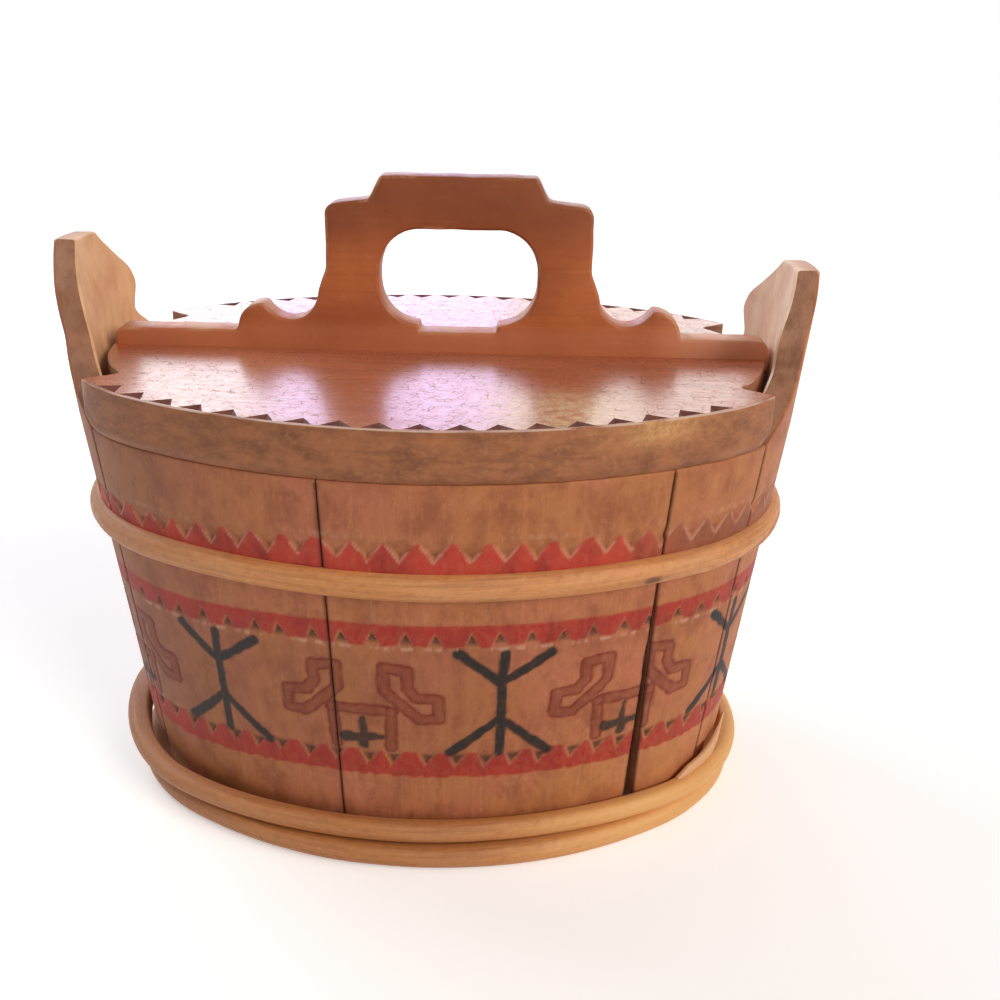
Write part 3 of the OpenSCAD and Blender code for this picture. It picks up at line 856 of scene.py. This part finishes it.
# Hoops: the section's back is a half circle, its belly distances from the inside and shares of height
HOOP_COLUMNS = 900
BACK_ANGLES = np.radians(np.linspace(-90.0, 90.0, 19))
BELLY_OUT = np.array([0.6, 0.2, 0.0, 0.0, 0.0, 0.2, 0.6])
BELLY_UP = np.array([0.975, 0.92, 0.7, 0.0, -0.7, -0.92, -0.975])
LEAST_Z = 0.03
LIFT_REACH = 24.0

# Unevenness of a withy, with the length of its lumps
WAVE_D = 0.25
WAVE_LEN = 17.0
FIBRE_D = 0.1
FIBRE_LEN = 1.2
FIBRE_STRETCH = 0.3
THINNER = 0.08
THIN_LEN = 23.0
SWAY = 0.3
SWAY_LEN = 31.0

# Seam where the withy's ends lap, and its knots
LAP_R = 0.35
LAP_D = 0.4
LAP_DARK = 0.55
KNOT_STRETCH = 0.4
KNOT_DARK = 0.95
KNOT_HEART = (0.35, 0.95)
FLECK_DARK = 0.5
FLECK_LEN = 1.6
FLECK_H = 0.3


def hoop(name, middle, half_h, inside, outside, seed, slide=0.0, seam=None, knots=(), tail=None,
         lift=(0.0, 0.0, 0.0)):
    """Closed withy round the wall; inside and outside each have a distance from the wall and a longer oval.

    Lift is how far it has ridden up at the left end, and how far its outside and inside are drawn in there.
    """
    share = np.linspace(-1.0, 1.0, HOOP_COLUMNS, endpoint=False)
    count = len(BACK_ANGLES)
    spine = outside[0] - half_h
    up = np.concatenate([half_h * np.sin(BACK_ANGLES), half_h * BELLY_UP])
    round_out = np.maximum(spine + half_h * np.cos(BACK_ANGLES), inside[0])
    belly_out = inside[0] + np.minimum(BELLY_OUT, max(spine - inside[0], 0.0))
    about = np.concatenate([half_h * BACK_ANGLES, half_h * (BELLY_UP + 3)])[:, None]
    runs = np.repeat(share[None, :] * HALF_WAY, len(about), axis=0)
    back = np.concatenate([np.cos(BACK_ANGLES), 0 * BELLY_UP])[:, None]
    wave = WAVE_D * wander(runs, runs * 0, WAVE_LEN, seed)
    fall = back * (wave + FIBRE_D * wander(runs * FIBRE_STRETCH, about, FIBRE_LEN, seed + 3))
    tall = up[:, None] * (1 - THINNER * wander(runs, runs * 0 + 5, THIN_LEN, seed + 1))
    sway = SWAY * (wander(runs, runs * 0 + 9, SWAY_LEN, seed + 2) - 0.5)
    dark = np.zeros(runs.shape)
    if seam:
        lap = bell(stroke_distance(runs, tall, seam), LAP_R)
        fall = fall + LAP_D * lap * back
        dark = LAP_DARK * lap
    for knot_run, knot_up in knots:
        away = np.hypot((runs - knot_run) * KNOT_STRETCH, tall - knot_up)
        dark = np.maximum(dark, KNOT_DARK * fade(*KNOT_HEART, away))
        dark = np.maximum(dark, FLECK_DARK * bell(away, FLECK_LEN) * bell(tall - knot_up, FLECK_H))
    ridden = bell(runs + EAR_MIDDLE, LIFT_REACH)
    height = np.maximum(middle + tall + sway + lift[0] * ridden, LEAST_Z)
    far_oval = Oval(outside[1])
    near_oval = Oval(inside[1])
    far_out = np.maximum(round_out[:, None] - fall[:count], inside[0]) + LEAN * middle
    far_out = far_out + (LEAN * lift[0] - lift[1]) * ridden[:count]
    near_out = belly_out[:, None] + LEAN * height[count:] - lift[2] * ridden[count:]
    far_x, far_y = far_oval.point(share[None, :] * far_oval.half_way, far_out)
    near_x, near_y = near_oval.point(share[None, :] * near_oval.half_way, near_out)
    plan = (np.concatenate([far_x, near_x]) + slide, np.concatenate([far_y, near_y]))
    shape = Shape()
    grain = np.stack([np.repeat(about, len(share), axis=1), 0 * runs, runs], axis=-1)
    grid = shape.add(np.stack([*plan, height], axis=-1), grain=grain, dark=dark)
    shape.skin(joined(np.concatenate([grid, grid[:1]])))
    if tail:
        tail(shape)
    return shape.piece(name + "_look", "tub", [name], [HOOP_FINISH], 60.0)


# The end of the lower hoop's withy, tucked in between the hoop and the wall: heights at runs along the wall
TAIL_RUNS = [50.0, 53.0, 58.0, 62.0, 65.0, 66.5]
TAIL_TOPS = [7.9, 9.4, 10.0, 11.0, 12.9, 14.4]
TAIL_LOWS = [6.6, 6.6, 6.6, 7.6, 10.4, 13.9]
TAIL_STATIONS = 48
TAIL_OUT = 1.0
TAIL_T = 0.9
TAIL_TAPER = 0.5
TAIL_EASE = 0.2
TAIL_PALE = 0.5


def tail_end(shape):
    """Tapering tongue that stands up behind the lower hoop's upper strand."""
    run = np.linspace(TAIL_RUNS[0], TAIL_RUNS[-1], TAIL_STATIONS)
    top = np.interp(run, TAIL_RUNS, TAIL_TOPS)
    low = np.interp(run, TAIL_RUNS, TAIL_LOWS)
    thick = TAIL_T * (1 - TAIL_TAPER * smooth_step(0.75, 1.0, np.linspace(0.0, 1.0, TAIL_STATIONS)))
    heights = (low, low, (low + top) / 2, top - TAIL_EASE, top, top - TAIL_EASE)
    stands = (0.0, 1.0, 1.15, 0.9, 0.5, 0.0)
    rows = [wall_point(run, height, TAIL_OUT + thick * stand) for height, stand in zip(heights, stands)]
    about = np.arange(len(rows), dtype=float)
    grain = np.stack(np.broadcast_arrays(about[:, None], 0.0, run[None, :]), axis=-1)
    grid = shape.add(np.stack(rows), grain=grain, pale=np.full((len(rows), TAIL_STATIONS), TAIL_PALE))
    grid = np.concatenate([grid, grid[:1]])
    shape.skin(grid)
    shape.face(grid[:-1, 0])
    shape.face(grid[:-1, -1][::-1])


hoop("upper_hoop", 54.0, 2.45, (0.05, 0.0), (2.25, 0.0), 51,
     seam=[(48.0, -2.4), (58.0, -0.9), (70.0, 0.4)], knots=[(36.0, -0.9)])
hoop("lower_hoop_upper", 5.95, 1.9, (0.6, 1.5), (4.1, 1.5), 61,
     slide=-1.2, tail=tail_end, lift=(4.4, 1.9, 3.0))
hoop("lower_hoop_lower", 2.0, 1.95, (1.85, -3.6), (6.1, -2.5), 71)


def even_loop(points, step, rounds):
    """Closed outline with even steps, its corners eased by some rounds of smoothing."""
    points = np.asarray(points, float)
    closed = np.concatenate([points, points[:1]])
    lengths = np.concatenate([[0.0], np.cumsum(np.linalg.norm(np.diff(closed, axis=0), axis=1))])
    count = int(lengths[-1] / step)
    at = np.linspace(0.0, lengths[-1], count, endpoint=False)
    loop = np.stack([np.interp(at, lengths, closed[:, k]) for k in (0, 1)], axis=1)
    for _ in range(rounds):
        loop = loop / 2 + (np.roll(loop, 1, axis=0) + np.roll(loop, -1, axis=0)) / 4
    return loop


def inward(loop):
    """Directions into a loop that runs anticlockwise."""
    along = np.roll(loop, -1, axis=0) - np.roll(loop, 1, axis=0)
    along /= np.linalg.norm(along, axis=1)[:, None]
    return np.stack([-along[:, 1], along[:, 0]], axis=1)


def fill(loops, leave, spots=()):
    """Triangles between loops and single spots in a plane, left out where leave says so of their middle."""
    places = np.concatenate(loops + [np.asarray(spots, float).reshape(-1, 2)])
    edges = []
    start = 0
    for loop in loops:
        count = len(loop)
        edges += [(start + i, start + (i + 1) % count) for i in range(count)]
        start += count
    found = delaunay_2d_cdt([Vector(p) for p in places.tolist()], edges, [], 1, 1e-6)
    corners = np.array([tuple(p) for p in found[0]])
    kept = [face for face in found[2] if not leave(corners[face].mean(axis=0))]
    return corners, kept


def in_loop(place, loop):
    """Whether a place lies inside a closed outline."""
    ahead = np.roll(loop, -1, axis=0)
    spans = (loop[:, 1] > place[1]) != (ahead[:, 1] > place[1])
    rise = np.where(ahead[:, 1] == loop[:, 1], 1.0, ahead[:, 1] - loop[:, 1])
    cross = loop[:, 0] + (place[1] - loop[:, 1]) / rise * (ahead[:, 0] - loop[:, 0])
    return np.count_nonzero(spans & (cross > place[0])) % 2 == 1


# Lid board
LID_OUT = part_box("lid_board")[1].y / MM - FOOT_HALF_DEP
LID_T = LID_TOP - RIM
FORK_PLAY = 0.6
FORK_A = EAR_A + FORK_PLAY / (END_R + LEAN * RIM)
FORK_R = END_R + LEAN * RIM - STAVE_T - FORK_PLAY
LID_R = END_R + LID_OUT
LID_STEP = 0.4
LID_EASE = 8
UNDER_EDGE = [(1.5, 0.0), (1.15, 0.08), (0.7, 0.5), (0.3, 1.0), (0.06, 1.6), (0.0, 2.3)]
UPPER_EDGE = [(0.0, 0.5), (0.03, 0.25), (0.1, 0.1), (0.25, 0.03), (0.45, 0.0)]
EDGE_LEVELS = (0.4, 0.55, 0.7)
EDGE_WEAR = 0.25
FORK_SHARE = 0.3
FORK_MARGIN = 0.3
FORK_ROUNDS = 12
FORK_FADE = 0.02
CHIP_STEP = 6.0
CHIP_HALF = 2.35
CHIP_EDGE = 0.7
CHIP_REACH = 3.7
CHIP_DEEP = 0.9
CHIP_SHIFT = 0.4
CHIP_SMALLER = 0.12
APEX_SHIFT = 0.3
APEX_PULL = 0.25
PEG_R = 1.56
PEG_SPOTS = (-14.7, 22.3)
PEG_SIDES = 32
BORE_D = 2.0
HORN_X = END_C + LID_R * math.cos(FORK_A)
HORN_Y = LID_R * math.sin(FORK_A)
HORN_R = 4.5
HORN_RINGS = (1.0, 2.0, 3.0, 4.0, 5.0)

# Paint layers on the lid's edge: painted highlights along the top arris, on the tip of the front left horn
# and as a golden streak
ARRIS_HIGHLIGHT = 0.8
ARRIS_BREAKS = (0.25, 0.55)
HORN_TIP_HIGHLIGHT = 0.55
TIP_REACH = (0.3, 3.2)
TIP_RISE = (0.3, 1.0)
GOLD_X = 36.0
GOLD_REACH = 6.0
GOLD_RISE = (0.45, 0.7)


def lid_edge_run():
    """Run at which the lid's edge ends beside a fork."""
    return SIDE_RUN + (END_R + MID) * (math.pi / 2 - FORK_A - SIDE_A)


def lid_outline():
    """Outline of the lid with a fork at each end, anticlockwise from the left of the front edge."""
    reach = lid_edge_run()
    edge = np.stack(FOOT.point(np.linspace(-reach, reach, 400), LID_OUT), axis=1)
    turn = np.linspace(-FORK_A, FORK_A, 120)
    fork = np.stack([END_C + FORK_R * np.cos(turn), FORK_R * np.sin(turn)], axis=1)
    half = np.concatenate([edge, fork])
    return np.concatenate([half, -half])


def horn_rise(places):
    """How far the underside has been rounded up towards the tips of the four horns."""
    away = np.hypot(np.abs(places[:, 0]) - HORN_X, np.abs(places[:, 1]) - HORN_Y)
    return edge_round(away, HORN_R)


def horn_spots(loop):
    """Places on rings about the horns' tips that lie inside the lid's outline."""
    turns = np.linspace(0.0, 2 * math.pi, 40, endpoint=False)
    spots = []
    for x in (-HORN_X, HORN_X):
        for y in (-HORN_Y, HORN_Y):
            for reach in HORN_RINGS:
                spots += [(x + reach * math.cos(turn), y + reach * math.sin(turn)) for turn in turns]
    return np.array([spot for spot in spots if in_loop(spot, loop)])


def chip_cuts():
    """Corners in plan of the chips along the front and back edges, two on the edge and one inside."""
    chance = np.random.default_rng(83)
    reach = lid_edge_run() - CHIP_STEP
    step = CHIP_STEP * (SIDE_R + MID) / (SIDE_R + LID_OUT)
    chips = []
    for turn in (0.0, HALF_WAY):
        for run in np.arange(-reach + 1.0, reach, step):
            run = run + turn + CHIP_SHIFT * (chance.random() - 0.5)
            size = 1 - CHIP_SMALLER * chance.random()
            left = FOOT.point(run - CHIP_HALF * size, LID_OUT - CHIP_EDGE)
            right = FOOT.point(run + CHIP_HALF * size, LID_OUT - CHIP_EDGE)
            apex = FOOT.point(run + APEX_SHIFT * (chance.random() - 0.5), LID_OUT - CHIP_REACH * size)
            chips.append(np.array([left, right, apex], float))
    return chips


def lid_board():
    """Lid with eased edges and a row of chips cut along its front and back edges."""
    shape = Shape()
    loop = even_loop(lid_outline(), LID_STEP, LID_EASE)
    normal = inward(loop)
    x, y = loop.T
    from_end = np.hypot(np.abs(x) - END_C, y)
    fork = ((np.abs(x) > END_C) & (from_end < LID_R - FORK_MARGIN)).astype(float)
    for _ in range(FORK_ROUNDS):
        fork = np.maximum(fork, (np.roll(fork, 1) + np.roll(fork, -1)) / 2 - FORK_FADE)
    share = 1 - (1 - FORK_SHARE) * fork
    rows = [(inset, RIM + up) for inset, up in UNDER_EDGE]
    rows += [(0.0, RIM + LID_T * level) for level in EDGE_LEVELS]
    rows += [(inset, LID_TOP - down) for inset, down in UPPER_EDGE]
    rings = []
    for inset, height in rows:
        wear = EDGE_WEAR * wander(x + y, height + y * 0.3, cell=4.0, seed=81)
        place = loop + normal * (inset * share + wear * (1 - fork))[:, None]
        rings.append(at_height(place, height + horn_rise(place) * (LID_TOP - height) / LID_T))
    rings = np.stack(rings)
    rise = (rings[:, :, 2] - RIM) / LID_T
    pale = np.zeros(rings.shape[:2])
    # Painted highlight along the top arris, broken in places
    pale[-3:-1] = ARRIS_HIGHLIGHT * smooth_step(*ARRIS_BREAKS, wander(x, y, cell=5.0, seed=82))
    # Painted highlight on the tip of the front left horn
    tip = HORN_TIP_HIGHLIGHT * fade(*TIP_REACH, np.hypot(x + HORN_X, y + HORN_Y))
    pale = np.maximum(pale, tip * smooth_step(*TIP_RISE, rise))
    # Painted golden highlight streak on the front of the rim
    streak = bell(x - GOLD_X, GOLD_REACH) * (1 - fork) * (y < 0)
    grid = shape.add(rings, pale=pale, gold=streak[None, :] * smooth_step(*GOLD_RISE, rise))
    shape.skin(joined(grid), 2)
    chips = chip_cuts()

    def on_chip(place):
        return any(in_loop(place, chip) for chip in chips)

    corners, faces = fill([rings[-1, :, :2]] + chips, on_chip)
    shape.cover(at_height(corners, LID_TOP), faces)
    for chip in chips:
        heart = chip.mean(axis=0) * (1 - APEX_PULL) + chip[2] * APEX_PULL
        four = shape.add(at_height([*chip, heart], [LID_TOP] * 3 + [LID_TOP - CHIP_DEEP]))
        for a, b in ((0, 1), (1, 2), (2, 0)):
            shape.face((four[a], four[b], four[3]), 1)
    angle = np.linspace(0.0, 2 * math.pi, PEG_SIDES, endpoint=False)
    bores = [np.stack([spot + PEG_R * np.cos(angle), PEG_R * np.sin(angle)], axis=1) for spot in PEG_SPOTS]

    def on_peg(place):
        return any(math.hypot(place[0] - spot, place[1]) < PEG_R for spot in PEG_SPOTS)

    corners, faces = fill([rings[0, :, :2]] + bores, on_peg, horn_spots(rings[0, :, :2]))
    shape.cover(at_height(corners, RIM + horn_rise(corners)), faces, flip=True)
    for bore in bores:
        tube = shape.add(np.stack([at_height(bore, height) for height in (RIM, RIM + BORE_D)]))
        shape.skin(joined(tube)[:, ::-1])
        shape.face(tube[-1][::-1])
    finishes = [LID_FINISH, CUT_FINISH, RIM_FINISH]
    return shape.piece("lid_board_look", "lid", ["lid_board"], finishes, 20.0)


lid_board()

# Handle board
HANDLE_LOW, HANDLE_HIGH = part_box("lid_handle")
BOARD_LOW = HANDLE_LOW.z / MM
GRIP_TOP = HANDLE_HIGH.z / MM
BOARD_T = 5.6
RAIL_LEFT = HANDLE_LOW.x / MM
RAIL_RIGHT = HANDLE_HIGH.x / MM
RAIL_TOP = LID_TOP + 3.4
RAIL_ROUND = 2.0
GRIP_X = 3.8
GRIP_HALF = 23.2
ROOT_HALF = 24.8
TOP_HALF = 13.5
STEP_TOP = LID_TOP + 26.4
STEP_FALL = 0.7
CORNER_R = 2.0
HOLE_HALF = 13.7
HOLE_LOW = LID_TOP + 5.0
HOLE_HIGH = LID_TOP + 21.3
HOLE_R = 7.0
DIP_HALF = 6.8
DIP_D = 1.3
NOTCH_R = 4.9
NOTCH_Z = LID_TOP + 10.3
BUMP_R = 4.8
BOARD_STEP = 0.35
BOARD_EASE = 4
BOARD_EDGE = [(0.65, 0.0), (0.3, 0.1), (0.1, 0.3), (0.0, 0.7)]
BOARD_WEAR = 0.18
# Pale edges of the handle: partly wear and partly painted highlight
WEAR_AND_HIGHLIGHT = 0.85
WEAR_AND_HIGHLIGHT_BREAKS = (0.35, 0.7)


def arc_points(x, z, radius, start, end, count=24):
    """Points on an arc between two angles in degrees."""
    angle = np.radians(np.linspace(start, end, count))
    return np.stack([x + radius * np.cos(angle), z + radius * np.sin(angle)], axis=1)


def handle_outline():
    """Right half of the grip from its root to its top, then the whole outline anticlockwise."""
    notch_x = ROOT_HALF + NOTCH_R
    bump_x = notch_x + BUMP_R
    meet = math.degrees(math.asin((RAIL_TOP + BUMP_R - NOTCH_Z) / NOTCH_R))
    corner_z = STEP_TOP - STEP_FALL - CORNER_R
    side = np.concatenate([
        arc_points(bump_x, RAIL_TOP, BUMP_R, 0.0, 90.0),
        arc_points(notch_x, NOTCH_Z, NOTCH_R, meet, -180.0, 48),
        [(GRIP_HALF, HOLE_HIGH - HOLE_R)],
        arc_points(GRIP_HALF - CORNER_R, corner_z, CORNER_R, 0.0, 85.0),
        [(TOP_HALF + CORNER_R, STEP_TOP), (TOP_HALF, GRIP_TOP)],
    ])
    right = side + (GRIP_X, 0.0)
    left = side[::-1] * (-1.0, 1.0) + (GRIP_X, 0.0)
    right_end = arc_points(RAIL_RIGHT - RAIL_ROUND, RAIL_TOP - RAIL_ROUND, RAIL_ROUND, 0.0, 90.0)
    left_end = arc_points(RAIL_LEFT + RAIL_ROUND, RAIL_TOP - RAIL_ROUND, RAIL_ROUND, 90.0, 180.0)
    low = [(RAIL_LEFT, BOARD_LOW), (RAIL_RIGHT, BOARD_LOW)]
    return np.concatenate([low, right_end, right, left, left_end])


def hole_outline():
    """Outline of the hand hole, clockwise."""
    flat = HOLE_HALF - HOLE_R
    up = HOLE_HIGH - HOLE_R
    down = HOLE_LOW + HOLE_R
    points = np.concatenate([
        arc_points(flat, up, HOLE_R, 0.0, 90.0),
        arc_points(-flat, up, HOLE_R, 90.0, 180.0),
        arc_points(-flat, down, HOLE_R, 180.0, 270.0),
        [(-DIP_HALF, HOLE_LOW - DIP_D), (DIP_HALF, HOLE_LOW - DIP_D)],
        arc_points(flat, down, HOLE_R, -90.0, 0.0),
    ])
    return (points + (GRIP_X, 0.0))[::-1]


def facing(places, y):
    """Places in a plane that faces the front, at some distance behind the middle."""
    return at_height(places, y)[:, [0, 2, 1]]


def handle_board():
    """Handle board with rounded edges on its outline and round its hole."""
    shape = Shape()
    half = BOARD_T / 2
    profile = [(inset, back - half) for inset, back in BOARD_EDGE]
    profile += [(inset, half - back) for inset, back in BOARD_EDGE[::-1]]
    ends = []
    for outline in (handle_outline(), hole_outline()):
        loop = even_loop(outline, BOARD_STEP, BOARD_EASE)
        normal = inward(loop)
        keep = smooth_step(LID_TOP - 0.5, LID_TOP + 1.0, loop[:, 1])
        wear = BOARD_WEAR * wander(*loop.T, cell=3.0, seed=91) * keep
        rings = np.stack([facing(loop + normal * (inset + wear)[:, None], y) for inset, y in profile])
        wear_and_highlight = np.zeros(rings.shape[:2])
        # Pale edges of wear and painted highlight on the rounded rows
        wear_and_highlight[1:-1] = WEAR_AND_HIGHLIGHT * smooth_step(*WEAR_AND_HIGHLIGHT_BREAKS, wander(*loop.T, cell=6.0, seed=92))
        grid = shape.add(rings, edge=wear_and_highlight)
        shape.skin(joined(grid)[:, ::-1])
        ends.append((rings[0][:, [0, 2]], rings[-1][:, [0, 2]]))
    for k, y in ((0, -half), (1, half)):
        hole = ends[1][k]
        corners, faces = fill([ends[0][k], hole], lambda place: in_loop(place, hole))
        shape.cover(facing(corners, y), faces, flip=k == 1)
    return shape.piece("lid_handle_look", "lid", ["lid_handle"], [HANDLE_FINISH], 30.0)


handle_board()

# Pieces whose CAD shape stays
for node, material in (("bottom_board", BOARD_FINISH), ("handle_pegs", PEG_FINISH)):
    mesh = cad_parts[node].data
    mesh.materials.clear()
    mesh.materials.append(material)

# Floor, backdrop and lights
FLOOR_HALF = 0.85
FLOOR_DROP = 0.0002
FLOOR_GLOW = 0.38
FLOOR_LOOK = {"Base Color": (0.93, 0.93, 0.93, 1.0), "Roughness": 0.9, "Specular IOR Level": 0.1}
WORLD_LOOK = {"Color": (1.0, 0.97, 0.94, 1.0), "Strength": 0.24}
WHITE = (1.0, 1.0, 1.0, 1.0)
scene = bpy.context.scene


def seen_rays(g):
    """1 for rays of the camera and those that gloss or glass send on, 0 for light that falls on things."""
    rays = g.node("LightPath", {}).outputs
    return g.maths("MAXIMUM", rays["Is Camera Ray"], rays["Is Glossy Ray"], rays["Is Transmission Ray"])


def dressed(g, name, look):
    """The output of a node that is there from the start, once its inputs are set."""
    for key, value in look.items():
        g.feed(g.tree.nodes[name].inputs[key], value)
    return g.tree.nodes[name].outputs[0]


def floor():
    """Pale floor that glows a little where it is seen, and takes the object's shadow."""
    mesh = bpy.data.meshes.new("floor")
    corners = [(x * FLOOR_HALF, y * FLOOR_HALF) for x, y in ((-1, -1), (1, -1), (1, 1), (-1, 1))]
    mesh.from_pydata([(x, y, cad_low.z - FLOOR_DROP) for x, y in corners], [], [(0, 1, 2, 3)])
    made = bpy.data.objects.new("floor", mesh)
    scene.collection.objects.link(made)
    g = Graph(bpy.data.materials.new("floor_look"))
    glow = g.node("Emission", {"Color": WHITE, "Strength": g.times(seen_rays(g), FLOOR_GLOW)})
    both = g.node("AddShader", {0: dressed(g, "Principled BSDF", FLOOR_LOOK), 1: glow.outputs[0]})
    g.feed(g.tree.nodes["Material Output"].inputs["Surface"], both.outputs[0])
    mesh.materials.append(g.owner)


def studio():
    """World that lights the object evenly and is white where it is seen."""
    scene.world = bpy.data.worlds.new("studio")
    g = Graph(scene.world)
    white = g.node("Background", {"Color": WHITE, "Strength": 1.0})
    ambient = dressed(g, "Background", WORLD_LOOK)
    either = g.node("MixShader", {0: seen_rays(g), 1: ambient, 2: white.outputs[0]})
    g.feed(g.tree.nodes["World Output"].inputs["Surface"], either.outputs[0])


floor()
studio()


def panel(name, place, aim, width, tall, watts, colour):
    """Soft rectangular lamp that looks at a point and isn't seen itself."""
    data = bpy.data.lights.new(name, "AREA")
    data.shape = "RECTANGLE"
    data.size = width
    data.size_y = tall
    data.energy = watts
    data.color = colour
    lamp = bpy.data.objects.new(name, data)
    lamp.location = place
    lamp.rotation_euler = (Vector(aim) - Vector(place)).to_track_quat("-Z", "Y").to_euler()
    lamp.visible_camera = False
    scene.collection.objects.link(lamp)


panel("window_left", (-0.48, 1.1, 0.42), (-0.45, 0.0, 0.08), 0.4, 0.5, 1.7, (0.97, 0.96, 1.0))
panel("window_middle", (-0.14, 1.1, 0.42), (-0.11, 0.0, 0.08), 0.28, 0.5, 1.5, (0.68, 0.56, 1.0))
panel("window_right", (0.31, 1.1, 0.42), (0.34, 0.0, 0.08), 0.62, 0.5, 1.4, (1.0, 0.92, 0.9))
panel("key", (0.78, -0.7, 0.64), (0.0, 0.0, 0.05), 0.7, 0.5, 8.5, (1.0, 0.94, 0.84))
panel("side", (-0.6, 0.4, 0.7), (0.0, 0.0, 0.08), 0.5, 0.4, 3.4, (0.93, 0.96, 1.0))
panel("fill", (-0.8, -0.45, 0.5), (0.0, 0.0, 0.05), 0.7, 0.6, 0.4, (0.94, 0.95, 1.0))

# Camera fitted to the photograph
CAMERA_AT = Vector((14.0, -202.1, 130.9)) * MM
YAW = -0.020
PITCH = 0.377
ROLL = -0.019
LENS = 41.33
SENSOR = 36.0
SHIFT_X = 0.010
CLIP_START = 0.01
ahead = Vector((math.sin(YAW) * math.cos(PITCH), math.cos(YAW) * math.cos(PITCH), -math.sin(PITCH)))
level = Vector((math.cos(YAW), -math.sin(YAW), 0.0))
down = ahead.cross(level)
right = math.cos(ROLL) * level + math.sin(ROLL) * down
up = math.sin(ROLL) * level - math.cos(ROLL) * down
camera_data = bpy.data.cameras.new("camera")
camera_data.lens = LENS
camera_data.sensor_width = SENSOR
camera_data.shift_x = SHIFT_X
camera_data.clip_start = CLIP_START
camera = bpy.data.objects.new("camera", camera_data)
camera.matrix_world = Matrix((
    (right.x, up.x, -ahead.x, CAMERA_AT.x),
    (right.y, up.y, -ahead.y, CAMERA_AT.y),
    (right.z, up.z, -ahead.z, CAMERA_AT.z),
    (0.0, 0.0, 0.0, 1.0)))
scene.collection.objects.link(camera)
scene.camera = camera
scene.view_settings.view_transform = "Standard"
